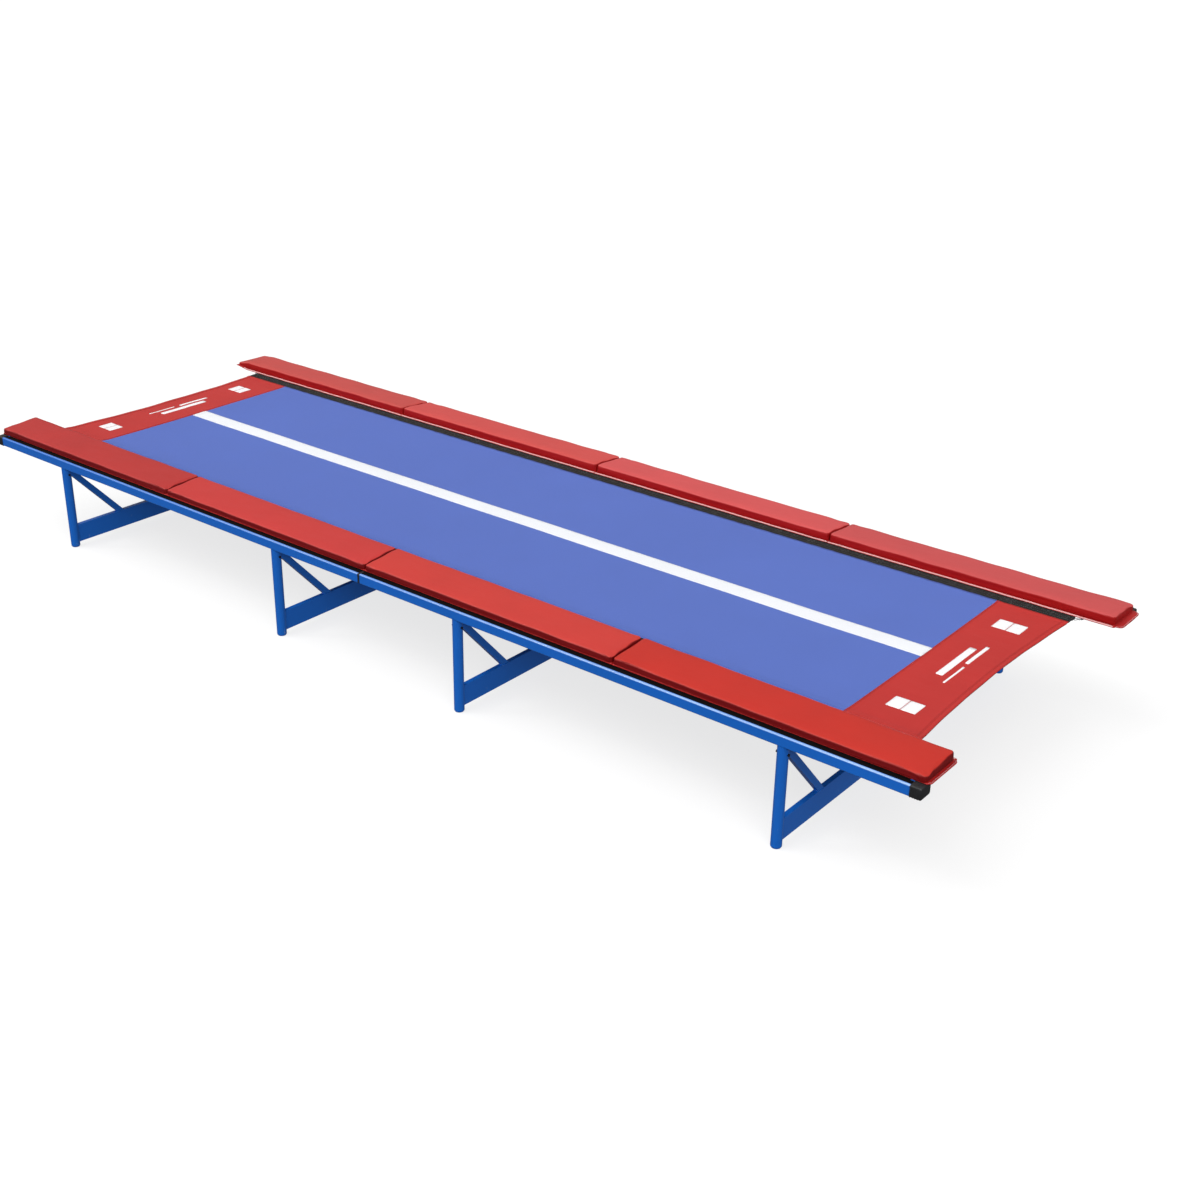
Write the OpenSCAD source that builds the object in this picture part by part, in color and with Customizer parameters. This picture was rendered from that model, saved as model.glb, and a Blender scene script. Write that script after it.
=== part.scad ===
// Tumbling trampoline track: a sprung fabric bed between two long steel rails, on four leg frames, with
// foam pads over the rails and the springs. Millimetres. +X runs along the track, -Y is the near side and
// +Z is up. The origin lies on the floor under the centre of the whole footprint.

/* [Track] */
// Length of the rails with their end caps, and of each row of pads
track_len = 6100; // [4000:10:8000]
// Distance between the outer faces of the two rails
track_w = 2100; // [1900:10:2400]
// Height of the rails' tops above the floor
rail_top = 536; // [480:1:600]

/* [Rails] */
// Height of the rail tube
rail_h = 50; // [46:1:60]
// Width of the rail tube
rail_w = 75; // [65:1:90]
// Wall of the rail tube and of the inner sleeves
rail_wall = 3; // [2:0.5:4]
// Outer corner radius of the rail tube
rail_corner = 5; // [4:0.5:6]
// Gap between the two rail sections at the middle
seam_gap = 3; // [1:0.5:5]
// Length of each inner sleeve
sleeve_len = 280; // [220:10:290]
// Length of rail that an end cap covers
cap_len = 50; // [30:1:60]
// Wall of an end cap
cap_wall = 3; // [2:0.5:3.5]

/* [Legs] */
// Distance from a leg frame to the nearer end of its rail section
leg_inset = 630; // [500:10:700]
// Outer diameter of a post
post_d = 50; // [44:1:55]
// Wall of the posts and stubs
post_wall = 3; // [2:0.5:4]
// Length of the stub under the rail that a post slips over
stub_len = 80; // [60:5:100]
// Height of a foot's visible part
foot_h = 22; // [18:1:30]
// Radius of a foot's rounded bottom edge
foot_round = 8; // [4:0.5:10]
// Height of the crossbar tube
crossbar_h = 105; // [80:1:120]
// Thickness of the crossbar tube
crossbar_t = 25; // [20:1:35]
// Height of the crossbar's underside above the floor
crossbar_z = 24; // [24:1:60]
// Thickness of a brace's flat tube
brace_w = 25; // [18:1:30]
// Height of a brace's flat tube, across its slope
brace_h = 33; // [20:1:34]
// Distance from a brace's outer foot to the post's face, along the crossbar
brace_run = 273; // [220:1:300]
// Height of the brace's lower edge where it meets the post
brace_top = 430; // [380:1:440]

/* [Pads] */
// Number of pads along each rail
pads_per_side = 4; // [2:1:4]
// Distance from the rail's outer face to the pad's outer edge
pad_setback = 36; // [30:1:50]
// Width of a pad
pad_w = 236; // [220:1:250]
// Thickness of a pad with its base sheet
pad_t = 37; // [30:1:50]
// Gap between neighbouring pads
pad_gap = 3; // [2:0.5:6]
// Gap from the rail's top to the pad's underside
pad_lift = 4; // [3.5:0.5:8]
// Thickness of the base sheet under the foam
base_t = 3; // [2:0.5:4]
// How far the base sheet stands out past the foam along its inner edge
lip_w = 10; // [4:1:11]
// Length of the joining tongue that stands out at the end of each row
tongue_len = 36; // [20:1:50]

/* [Bed] */
// Length of the blue field of the bed
field_len = 5040; // [3000:10:5040]
// Width of the woven bed between its borders
field_w = 1388; // [1200:2:1388]
// Length of each end band, measured along the borders
band_len = 345; // [250:5:350]
// How far each end band's free edge curves in at the middle
band_sag = 30; // [10:1:60]
// Thickness of the bed sheet and end bands
sheet_t = 3; // [2:0.5:4]
// Height of the bed's upper face
bed_top = 538; // [538:0.5:539]
// Width of the white centre line
line_w = 104; // [60:2:150]
// Width of a webbing border
border_w = 72; // [60:1:72]

/* [Springs] */
// Number of springs on each side
springs_per_side = 58; // [20:2:58]
// Distance between springs
spring_pitch = 100; // [80:1:100]
// Outer diameter of a spring's coil
coil_d = 16; // [12:1:16]
// Diameter of the spring wire
wire_d = 3; // [2:0.5:4]
// Diameter of the hole in the rail that a spring's hook goes through
hook_hole_d = 8; // [6:0.5:9]
// How far the last springs splay out towards the ends of the track
end_splay = 80; // [0:5:100]

/* [Hidden] */
SIDES = ["near", "far"];
ENDS = ["left", "right"];
LEGS = [1, 2, 3, 4];
PADS = [for (i = [1:pads_per_side]) i];
$fn = 48;
eps = 1;

frame_blue = [0.13, 0.38, 0.72];
pad_red = [0.78, 0.24, 0.22];
bed_blue = [0.39, 0.47, 0.77];
steel = [0.75, 0.76, 0.78];

// The tongues stand out at the right end only, so the track's middle lies left of the origin
mid_x = -tongue_len / 2;
half_len = track_len / 2;
rail_y = track_w / 2 - rail_w / 2;
rail_inner_y = track_w / 2 - rail_w;
rail_bottom = rail_top - rail_h;
rail_mid_z = rail_top - rail_h / 2;
rail_end_x = half_len - cap_wall;
cap_w = rail_w + 2 * cap_wall;
cap_h = rail_h + 2 * cap_wall;

sleeve_gap = 0.5;
sleeve_w = rail_w - 2 * rail_wall - 2 * sleeve_gap;
sleeve_h = rail_h - 2 * rail_wall - 2 * sleeve_gap;
sleeve_bore_w = sleeve_w - 2 * rail_wall;
sleeve_bore_h = sleeve_h - 2 * rail_wall;
sleeve_corner = rail_corner - rail_wall;
sleeve_bore_corner = 1;
bolt_d = 10;
bolt_head_d = 17;
bolt_head_h = 6;
hex_sides = 6;
bolt_play = 0.6;
splice_bolts_x = [45, 100];
splice_bolt_len = 14;

post_y = track_w / 2 - post_d / 2;
post_inner_d = post_d - 2 * post_wall;
stub_play = 1;
stub_d = post_inner_d - stub_play;
leg_bolt_d = 8;
leg_bolt_head_d = 13;
leg_bolt_z = rail_bottom - stub_len / 2;
leg_x = [-half_len + leg_inset, -leg_inset, leg_inset, half_len - leg_inset];
spigot_len = 28;
crossbar_top = crossbar_z + crossbar_h;
cope = 0.05;
tube_wall = 2.5;

pad_outer_y = track_w / 2 - pad_setback;
pad_inner_y = pad_outer_y - pad_w;
pad_bottom = rail_top + pad_lift;
pad_len = track_len / pads_per_side;
tongue_corner = 30;
tongue_inset = 14;
tape_w = 30;
tape_t = 2;
tape_end_gap = 20;

band_edge_x = field_len / 2 + band_len;
border_t = 5;
border_top = bed_top + 1;
border_outer_y = field_w / 2 + border_w;
loop_w = 30;
loop_depth = 22;
loop_t = 4;
line_t = 1;
line_end_gap = 12;
arc_sides = 720;

ring_z = border_top - border_t - loop_t / 2;
ring_w = 30;
ring_len = 32;
ring_t = 2;
ring_base = 4;
ring_hole_w = 18;
ring_hole_len = 22;
spring_gap = 1.5;
spring_in_y = border_outer_y + ring_len + spring_gap;
hook_hole_drop = 14;
anchor_z = rail_top - hook_hole_drop;
hook_reach = 2 * rail_wall;
anchor_y = rail_inner_y + hook_reach;
hook_len = 14;
last_spring = springs_per_side - 1;

function spring_x(i) = (i - last_spring / 2) * spring_pitch;
function anchor_x(i) = spring_x(i) + (i == 0 ? -end_splay : i == last_spring ? end_splay : 0);

// Places what is modelled on the far side about the track's middle, mirrored for the near side
module on_side(side) {
    translate([mid_x, 0, 0]) mirror([0, side == "near" ? 1 : 0, 0]) children();
}

// Mirrors what is modelled at the right end for the left end
module at_end(end) {
    mirror([end == "left" ? 1 : 0, 0, 0]) children();
}

module rounded_rect(w, h, r) {
    square([w - 2 * r, h], center = true);
    square([w, h - 2 * r], center = true);
    for (x = [-1, 1], y = [-1, 1]) {
        translate([x * (w / 2 - r), y * (h / 2 - r)]) circle(r);
    }
}

// A solid bar of rounded section along X, from x0 to x1, at the rails' height and distance
module rail_bar(x0, x1, w, h, r) {
    translate([x0, rail_y, rail_mid_z]) rotate([90, 0, 90]) linear_extrude(x1 - x0) rounded_rect(w, h, r);
}

module bolt(d, length, head_d, head_h) {
    translate([0, 0, -head_h]) cylinder(h = head_h, d = head_d, $fn = hex_sides);
    cylinder(h = length, d = d);
}

module spring_holes() {
    for (i = [0:last_spring]) {
        translate([anchor_x(i), rail_inner_y - eps, anchor_z]) rotate([-90, 0, 0])
            cylinder(h = 2 * rail_wall + 2 * eps, d = hook_hole_d);
    }
}

module splice_bolt_holes() {
    for (x = splice_bolts_x, e = [-1, 1]) {
        translate([e * x, rail_y, rail_bottom - eps])
            cylinder(h = 2 * rail_wall + 2 * eps, d = bolt_d + bolt_play);
    }
}

module leg_bolt_holes(x) {
    translate([x - post_d / 2 - eps, post_y, leg_bolt_z]) rotate([0, 90, 0])
        cylinder(h = post_d + 2 * eps, d = leg_bolt_d + bolt_play);
}

module rail(side, end) {
    color(frame_blue) on_side(side) at_end(end) difference() {
        union() {
            rail_bar(seam_gap / 2, rail_end_x, rail_w, rail_h, rail_corner);
            for (x = [leg_x[2], leg_x[3]]) {
                translate([x, post_y, rail_bottom - stub_len]) cylinder(h = stub_len, d = stub_d);
            }
        }
        rail_bar(-eps, track_len, rail_w - 2 * rail_wall, rail_h - 2 * rail_wall, rail_corner - rail_wall);
        spring_holes();
        splice_bolt_holes();
        for (x = [leg_x[2], leg_x[3]]) {
            translate([x, post_y, rail_bottom - stub_len - eps])
                cylinder(h = stub_len + eps, d = stub_d - 2 * post_wall);
            leg_bolt_holes(x);
        }
    }
}

module end_cap(side, end) {
    color("black") on_side(side) at_end(end) difference() {
        rail_bar(half_len - cap_len, half_len, cap_w, cap_h, rail_corner + cap_wall);
        rail_bar(half_len - cap_len - eps, rail_end_x, rail_w, rail_h, rail_corner);
    }
}

module splice_sleeve(side) {
    color("gray") on_side(side) difference() {
        rail_bar(-sleeve_len / 2, sleeve_len / 2, sleeve_w, sleeve_h, sleeve_corner);
        rail_bar(-sleeve_len, sleeve_len, sleeve_bore_w, sleeve_bore_h, sleeve_bore_corner);
        spring_holes();
        splice_bolt_holes();
    }
}

module splice_bolts() {
    color(steel) for (side = SIDES) on_side(side) for (x = splice_bolts_x, e = [-1, 1]) {
        translate([e * x, rail_y, rail_bottom]) bolt(bolt_d, splice_bolt_len, bolt_head_d, bolt_head_h);
    }
}

module leg_bolts() {
    color(steel) for (side = SIDES, x = leg_x) on_side(side) {
        translate([x - post_d / 2, post_y, leg_bolt_z]) rotate([0, 90, 0]) {
            bolt(leg_bolt_d, post_d, leg_bolt_head_d, bolt_head_h);
            translate([0, 0, post_d]) cylinder(h = bolt_head_h, d = leg_bolt_head_d, $fn = hex_sides);
        }
    }
}

module post(side, i) {
    x = leg_x[i - 1];
    color(frame_blue) on_side(side) difference() {
        translate([x, post_y, foot_h]) cylinder(h = rail_bottom - foot_h, d = post_d);
        translate([x, post_y, 0]) cylinder(h = rail_top, d = post_inner_d);
        leg_bolt_holes(x);
    }
}

// The foot's bottom edge is a quarter round: a ring of round section under a plain disc
module foot(side, i) {
    flat_r = post_d / 2 - foot_round;
    color(frame_blue) on_side(side) translate([leg_x[i - 1], post_y, 0]) {
        translate([0, 0, foot_round]) {
            cylinder(h = foot_h - foot_round, d = post_d);
            rotate_extrude() translate([flat_r, 0]) circle(foot_round);
        }
        cylinder(h = foot_h, r = flat_r);
        cylinder(h = foot_h + spigot_len, d = stub_d);
    }
}

module crossbar(i) {
    x = leg_x[i - 1];
    color(frame_blue) translate([mid_x + x, 0, 0]) difference() {
        translate([-crossbar_t / 2, -post_y, crossbar_z]) cube([crossbar_t, 2 * post_y, crossbar_h]);
        translate([-crossbar_t / 2 + tube_wall, -track_w / 2, crossbar_z + tube_wall])
            cube([crossbar_t - 2 * tube_wall, track_w, crossbar_h - 2 * tube_wall]);
        for (y = [-post_y, post_y]) {
            translate([0, y, 0]) cylinder(h = rail_top, d = post_d + 2 * cope);
        }
    }
}

module brace(side, i) {
    foot_y = post_y - post_d / 2 - brace_run;
    angle = atan2(brace_top - crossbar_top, brace_run);
    reach = track_w / 4;
    inner_w = brace_w - 2 * tube_wall;
    color(frame_blue) on_side(side) translate([leg_x[i - 1], 0, 0]) difference() {
        translate([0, foot_y, crossbar_top]) rotate([angle, 0, 0]) difference() {
            translate([-brace_w / 2, -2 * brace_w, 0]) cube([brace_w, reach, brace_h]);
            translate([-inner_w / 2, -reach, tube_wall]) cube([inner_w, 3 * reach, brace_h - 2 * tube_wall]);
        }
        translate([-brace_w, 0, crossbar_top - track_w]) cube([2 * brace_w, track_w, track_w]);
        translate([0, post_y, 0]) cylinder(h = 2 * rail_top, d = post_d + 2 * cope);
        translate([-brace_w, post_y, 0]) cube([2 * brace_w, track_w, 2 * rail_top]);
    }
}

module hook_tape(side) {
    tape_len = track_len - 2 * (cap_len + tape_end_gap);
    color("black") on_side(side) translate([-tape_len / 2, pad_outer_y - tape_w, rail_top])
        cube([tape_len, tape_w, tape_t]);
}

module pad(side, i) {
    x0 = -half_len + (i - 1) * pad_len + pad_gap / 2;
    length = pad_len - pad_gap;
    base_w = pad_w + lip_w;
    color(pad_red) on_side(side) translate([x0, pad_inner_y, pad_bottom]) {
        translate([0, 0, base_t]) cube([length, pad_w, pad_t - base_t]);
        translate([0, -lip_w, 0]) cube([length, base_w, base_t]);
        if (i == pads_per_side) tongue(length, base_w - 2 * tongue_inset);
    }
}

// The tongue goes on from the base sheet and has two round corners
module tongue(x, w) {
    run = tongue_len + pad_gap / 2;
    translate([x, tongue_inset - lip_w, 0]) linear_extrude(base_t) {
        square([run - tongue_corner, w]);
        translate([0, tongue_corner]) square([run, w - 2 * tongue_corner]);
        for (y = [tongue_corner, w - tongue_corner]) {
            translate([run - tongue_corner, y]) circle(tongue_corner);
        }
    }
}

module bed_sheet() {
    color(bed_blue) translate([mid_x - field_len / 2, -field_w / 2, bed_top - sheet_t])
        cube([field_len, field_w, sheet_t]);
}

module center_line() {
    length = field_len - 2 * line_end_gap;
    color("white") translate([mid_x - length / 2, -line_w / 2, bed_top]) cube([length, line_w, line_t]);
}

// The free edge is an arc through the border's corners and a point band_sag further in
module end_band(end) {
    arc_r = (pow(field_w / 2, 2) + pow(band_sag, 2)) / (2 * band_sag);
    color(pad_red) translate([mid_x, 0, bed_top - sheet_t]) at_end(end) difference() {
        translate([field_len / 2, -field_w / 2, 0]) cube([band_len, field_w, sheet_t]);
        translate([band_edge_x - band_sag + arc_r, 0, -eps])
            cylinder(h = sheet_t + 2 * eps, r = arc_r, $fn = arc_sides);
    }
}

module border(side) {
    color("black") on_side(side) {
        translate([-band_edge_x, field_w / 2, border_top - border_t])
            cube([2 * band_edge_x, border_w, border_t]);
        for (i = [0:last_spring]) {
            translate([spring_x(i) - loop_w / 2, border_outer_y - loop_depth, ring_z - loop_t / 2])
                cube([loop_w, loop_depth, loop_t]);
        }
    }
}

// Each ring is a flat triangle of wire with its base against the border's loop
module v_rings(side) {
    color(steel) on_side(side) for (i = [0:last_spring]) {
        translate([spring_x(i), border_outer_y, ring_z - ring_t / 2]) linear_extrude(ring_t)
            difference() {
                polygon([[-ring_w / 2, 0], [ring_w / 2, 0], [0, ring_len]]);
                translate([0, ring_base])
                    polygon([[-ring_hole_w / 2, 0], [ring_hole_w / 2, 0], [0, ring_hole_len]]);
            }
    }
}

// A spring's coil and hooks as plain round bars along the line from its V-ring to its hole in the rail
module spring(i) {
    run = [anchor_x(i) - spring_x(i), anchor_y - spring_in_y, anchor_z - ring_z];
    length = norm(run);
    translate([spring_x(i), spring_in_y, ring_z])
        rotate([0, acos(run[2] / length), atan2(run[1], run[0])]) {
            cylinder(h = length, d = wire_d);
            translate([0, 0, hook_len]) cylinder(h = length - 2 * hook_len - hook_reach, d = coil_d);
        }
}

module springs(side) {
    color(steel) on_side(side) for (i = [0:last_spring]) spring(i);
}

for (s = SIDES) {
    for (e = ENDS) {
        rail(s, e);
        end_cap(s, e);
    }
    for (i = LEGS) {
        post(s, i);
        foot(s, i);
        brace(s, i);
    }
    for (i = PADS) {
        pad(s, i);
    }
    splice_sleeve(s);
    hook_tape(s);
    border(s);
    v_rings(s);
    springs(s);
}
for (i = LEGS) {
    crossbar(i);
}
splice_bolts();
leg_bolts();
bed_sheet();
center_line();
end_band("left");  // left_end_band
end_band("right");  // right_end_band
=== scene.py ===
"""Looks for a tumbling trampoline track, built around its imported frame.

Metres, with +X along the track, -Y the near side and +Z up. Steel that the frame already holds
keeps its shape and gets a finish; everything sewn, woven, coiled or padded is made here.
"""

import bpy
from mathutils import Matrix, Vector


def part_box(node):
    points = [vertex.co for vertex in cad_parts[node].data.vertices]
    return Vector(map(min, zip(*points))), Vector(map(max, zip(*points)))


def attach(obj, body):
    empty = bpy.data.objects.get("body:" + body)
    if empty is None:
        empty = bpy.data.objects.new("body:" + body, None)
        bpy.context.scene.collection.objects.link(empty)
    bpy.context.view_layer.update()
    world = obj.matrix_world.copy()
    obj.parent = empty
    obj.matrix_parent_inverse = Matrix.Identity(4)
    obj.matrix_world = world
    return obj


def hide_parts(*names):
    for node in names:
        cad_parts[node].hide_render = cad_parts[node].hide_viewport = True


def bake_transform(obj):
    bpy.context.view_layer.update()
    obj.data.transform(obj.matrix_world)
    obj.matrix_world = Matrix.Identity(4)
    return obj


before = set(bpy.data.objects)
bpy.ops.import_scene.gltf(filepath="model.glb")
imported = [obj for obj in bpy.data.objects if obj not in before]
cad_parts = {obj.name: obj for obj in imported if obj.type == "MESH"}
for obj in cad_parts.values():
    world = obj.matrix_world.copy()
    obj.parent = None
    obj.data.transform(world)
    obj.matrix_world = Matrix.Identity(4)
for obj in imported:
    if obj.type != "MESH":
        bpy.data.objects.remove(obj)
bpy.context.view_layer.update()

import logging
import math
from collections.abc import Callable
from dataclasses import dataclass
from enum import Enum

import bpy
import numpy as np
from mathutils import Matrix, Vector

Array = np.ndarray
Triple = tuple[float, float, float]
Colour = Triple
LOG = logging.getLogger("track")
SEED = 41
TAU = 2 * math.pi
UP = np.array([0.0, 0.0, 1.0])
ACROSS = np.array([0.0, 1.0, 0.0])
ALONG = np.array([1.0, 0.0, 0.0])
PAD_COUNT = 4
LEG_COUNT = 4
STITCH = 0.0055
THREAD_LIFT = 0.0002


class Side(Enum):
    """The two long sides of the track, by the sign of Y."""

    NEAR = -1
    FAR = 1

    @property
    def word(self) -> str:
        """The side's name in the frame's node names."""
        return self.name.lower()


class End(Enum):
    """The two ends of the track, by the sign of X."""

    LEFT = -1
    RIGHT = 1

    @property
    def word(self) -> str:
        """The end's name in the frame's node names."""
        return self.name.lower()


def linear(red: float, green: float, blue: float) -> Colour:
    """A display colour as linear light.

    Args:
        red, green, blue: the display values, 0 to 255.

    Returns:
        Three linear values, 0 to 1.
    """
    shown = np.array([red, green, blue]) / 255
    low = shown <= 0.04045
    made = np.where(low, shown / 12.92, ((shown + 0.055) / 1.055) ** 2.4)
    return tuple(float(v) for v in made)


# ------------------------------------------------------------------------------------ shader maths


def operator(operation: str, swapped: bool = False) -> "Callable[[Wire, Wire | float], Wire]":
    """One arithmetic operator for Wire.

    Args:
        operation: the Math node's operation.
        swapped: whether the other value comes first, as in a reflected form.

    Returns:
        A method that adds the Math node and gives its result.
    """

    def method(self: "Wire", other: "Wire | float") -> "Wire":
        """The operator's result."""
        return self.recipe.maths(operation, *((other, self) if swapped else (self, other)))

    return method


class Wire:
    """A socket's output that takes part in Python arithmetic; each operator adds its Math node."""

    def __init__(self, recipe: "Recipe", socket: bpy.types.NodeSocket) -> None:
        """Wraps one output socket of a recipe's tree."""
        self.recipe = recipe
        self.socket = socket

    def __abs__(self) -> "Wire":
        """Size without sign."""
        return self.recipe.maths("ABSOLUTE", self)

    __add__, __radd__ = operator("ADD"), operator("ADD", swapped=True)
    __sub__, __rsub__ = operator("SUBTRACT"), operator("SUBTRACT", swapped=True)
    __mul__, __rmul__ = operator("MULTIPLY"), operator("MULTIPLY", swapped=True)
    __truediv__, __rtruediv__ = operator("DIVIDE"), operator("DIVIDE", swapped=True)
    __mod__ = operator("FLOORED_MODULO")


class Recipe:
    """One material's node tree: a Principled shader, and methods that add what feeds it."""

    def __init__(self, name: str) -> None:
        """Starts a material with an unfed Principled shader."""
        self.material = bpy.data.materials.new(name)
        self.material.use_nodes = True
        self.tree = self.material.node_tree
        self.tree.nodes.clear()
        self.skin = self.node("ShaderNodeBsdfPrincipled")
        self.node("ShaderNodeOutputMaterial", values={"Surface": self.skin.outputs["BSDF"]})
        coordinates = self.node("ShaderNodeTexCoord")
        self.place = Wire(self, coordinates.outputs["Object"])
        self.facing = Wire(self, coordinates.outputs["Normal"])

    def node(self, kind: str, settings: dict | None = None,
             values: dict | None = None) -> bpy.types.Node:
        """Adds any node.

        Args:
            kind: the node's type.
            settings: attributes to set first.
            values: what each input socket gets, by name or number: a number, a colour, a Wire
                or a socket.

        Returns:
            The new node.
        """
        made = self.tree.nodes.new(kind)
        for key, value in (settings or {}).items():
            setattr(made, key, value)
        for key, value in (values or {}).items():
            self.feed(made.inputs[key], value)
        return made

    def feed(self, socket: bpy.types.NodeSocket, value: object) -> None:
        """Links a Wire or socket to an input, or sets the input to a number or colour."""
        if isinstance(value, Wire):
            value = value.socket
        if isinstance(value, bpy.types.NodeSocket):
            self.tree.links.new(value, socket)
        else:
            socket.default_value = value

    def maths(self, operation: str, *values: "Wire | float", clamp: bool = False) -> Wire:
        """Adds a Math node.

        Args:
            operation: the node's operation.
            values: one to three numbers or Wires, in order.
            clamp: whether to keep the result between 0 and 1.

        Returns:
            The result.
        """
        settings = {"operation": operation, "use_clamp": clamp}
        made = self.node("ShaderNodeMath", settings, dict(enumerate(values)))
        return Wire(self, made.outputs[0])

    def ripple(self, value: Wire) -> Wire:
        """The size of a sine: one round crown for each whole number that the value passes."""
        return abs(self.maths("SINE", value * math.pi))

    def clamped(self, value: Wire) -> Wire:
        """The value kept between 0 and 1."""
        return self.maths("ADD", value, 0.0, clamp=True)

    def axes(self, vector: Wire | None = None) -> list[Wire]:
        """The X, Y and Z of a vector, or of the point on the surface in metres."""
        split = self.node("ShaderNodeSeparateXYZ", values={0: vector or self.place})
        return [Wire(self, output) for output in split.outputs]

    def stretched(self, scale: Triple) -> Wire:
        """The place, with each axis multiplied by its own scale."""
        values = {"Vector": self.place, "Scale": scale}
        return Wire(self, self.node("ShaderNodeMapping", values=values).outputs[0])

    def noise(self, scale: float, detail: float = 2.0, rough: float = 0.5,
              place: Wire | None = None) -> Wire:
        """Soft random values about 0.5.

        Args:
            scale: waves per metre.
            detail: how many finer layers are added.
            rough: how strong the finer layers are.
            place: the coordinates, or None for the plain place.

        Returns:
            The value, 0 to 1.
        """
        values = {"Vector": place or self.place, "Scale": scale, "Detail": detail,
                  "Roughness": rough}
        return Wire(self, self.node("ShaderNodeTexNoise", values=values).outputs[0])

    def cells(self, scale: float) -> Wire:
        """Distance to the nearest of many scattered points, which reads as grain or leather."""
        values = {"Vector": self.place, "Scale": scale}
        made = self.node("ShaderNodeTexVoronoi", {"feature": "F1"}, values)
        return Wire(self, made.outputs["Distance"])

    def mixed(self, share: "Wire | float", first: object, second: object) -> Wire:
        """A colour between two.

        Args:
            share: 0 for the first colour, 1 for the second.
            first, second: linear colours or Wires.

        Returns:
            The mixed colour.
        """
        first, second = [(*c, 1.0) if isinstance(c, tuple) else c for c in (first, second)]
        made = self.node("ShaderNodeMix", {"data_type": "RGBA"}, {0: share, 6: first, 7: second})
        return Wire(self, made.outputs[2])

    def relief(self, height: Wire, depth: float, strength: float) -> Wire:
        """A normal bent by a height pattern.

        Args:
            height: the pattern, 0 to 1.
            depth: what a height of 1 stands for, in metres.
            strength: how much of it shows.

        Returns:
            The normal.
        """
        values = {"Height": height, "Distance": depth, "Strength": strength}
        return Wire(self, self.node("ShaderNodeBump", values=values).outputs[0])

    def dress(self, **values: object) -> bpy.types.Material:
        """Feeds the Principled shader's sockets and gives the material.

        Args:
            values: what each socket gets, its name's spaces written as underscores.

        Returns:
            The material.
        """
        for key, value in values.items():
            if isinstance(value, tuple) and len(value) == 3:
                value = (*value, 1.0)
            self.feed(self.skin.inputs[key.replace("_", " ")], value)
        return self.material


# ---------------------------------------------------------------------------------------- finishes


@dataclass(frozen=True)
class Finish:
    """A surface finish: its name, its slot in the record and its colour in linear light."""

    name: str
    slot: str
    colour: Colour

    def shade(self, amount: float) -> Colour:
        """The finish's colour made darker or lighter by a factor."""
        return tuple(min(1.0, c * amount) for c in self.colour)

    def make(self) -> bpy.types.Material:
        """The finish as a material, made once."""
        return bpy.data.materials.get(self.name) or self.build()

    def build(self) -> bpy.types.Material:
        """Builds the material; each kind of finish has its own."""
        raise NotImplementedError


@dataclass(frozen=True)
class PowderCoat(Finish):
    """Baked paint on steel tube: fine orange peel, slight unevenness, and rubbed spots low down.

    A pale line along the rails' outer top edges, further out than edge_out and above edge_height,
    is a painted highlight of their rounded edge.
    """

    peel: float = 520.0
    bare: Colour = (0.30, 0.36, 0.45)
    # the painted highlight's pale colour
    edge_highlight: Colour = (0.42, 0.62, 0.95)
    edge_out: float = 1.0375
    edge_height: float = 0.5305

    def build(self) -> bpy.types.Material:
        """Colour varies over half a metre, and scuffs gather within 130 mm of the floor.

        The painted highlight on the edges is pale and smooth, stronger towards the right end and
        broken up by slow noise.
        """
        r = Recipe(self.name)
        x, y, height = r.axes()
        broad = r.noise(2.2, 3.0)
        low = r.clamped((0.13 - height) * 7.0)
        rub = r.noise(46.0, 5.0, 0.7, r.stretched((1.0, 1.0, 0.35)))
        worn = r.clamped((rub - (0.69 - 0.10 * low)) * 14.0) * (0.10 + 0.35 * low)
        tone = r.mixed(broad, self.shade(0.90), self.shade(1.10))
        # Painted highlight along the rails' outer top edges, stronger towards the right end and
        # broken up by noise.
        edge = r.clamped((abs(y) - self.edge_out) * 220.0)
        edge = edge * r.clamped((height - self.edge_height) * 500.0)
        edge = edge * r.clamped(0.64 + 0.13 * x)
        peel = r.noise(self.peel, 1.0)
        dust = r.noise(9.0, 4.0)
        edge = edge * r.clamped(0.55 + 0.75 * dust)
        return r.dress(
            Base_Color=r.mixed(edge * 0.72, r.mixed(worn, tone, self.bare), self.edge_highlight),
            Roughness=0.27 + 0.12 * dust + 0.25 * worn - 0.12 * edge,
            Specular_IOR_Level=0.25,
            Coat_Weight=0.22,
            Coat_Roughness=0.10,
            Normal=r.relief(peel + 0.5 * worn, 0.00022, 0.55),
        )


@dataclass(frozen=True)
class MouldedPlastic(Finish):
    """Black moulded plastic with a fine spark-eroded texture and pale scuffs."""

    def build(self) -> bpy.types.Material:
        """Pebbled grain of about a millimetre, with a little dust in its hollows."""
        r = Recipe(self.name)
        grain = r.cells(1100.0)
        dust = r.noise(30.0, 4.0)
        return r.dress(
            Base_Color=r.mixed(r.clamped((dust - 0.45) * 1.6), self.colour, self.shade(2.2)),
            Roughness=0.42 + 0.2 * dust,
            Normal=r.relief(grain, 0.00025, 0.5),
        )


@dataclass(frozen=True)
class DrawnSteel(Finish):
    """Zinc-plated or plain drawn steel: dull patches over a bright ground, with fine draw lines."""

    rough: float = 0.34
    lines: Triple = (300.0, 300.0, 300.0)

    def build(self) -> bpy.types.Material:
        """Draw lines are noise stretched along the steel; patches are slow noise."""
        r = Recipe(self.name)
        lines = r.noise(1.0, 2.0, 0.6, r.stretched(self.lines))
        patch = r.noise(38.0, 3.0)
        return r.dress(
            Base_Color=r.mixed(patch, self.shade(0.80), self.shade(1.08)),
            Metallic=0.92,
            Roughness=self.rough + 0.16 * patch + 0.06 * lines,
            Normal=r.relief(lines, 0.00012, 0.4),
        )


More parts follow.
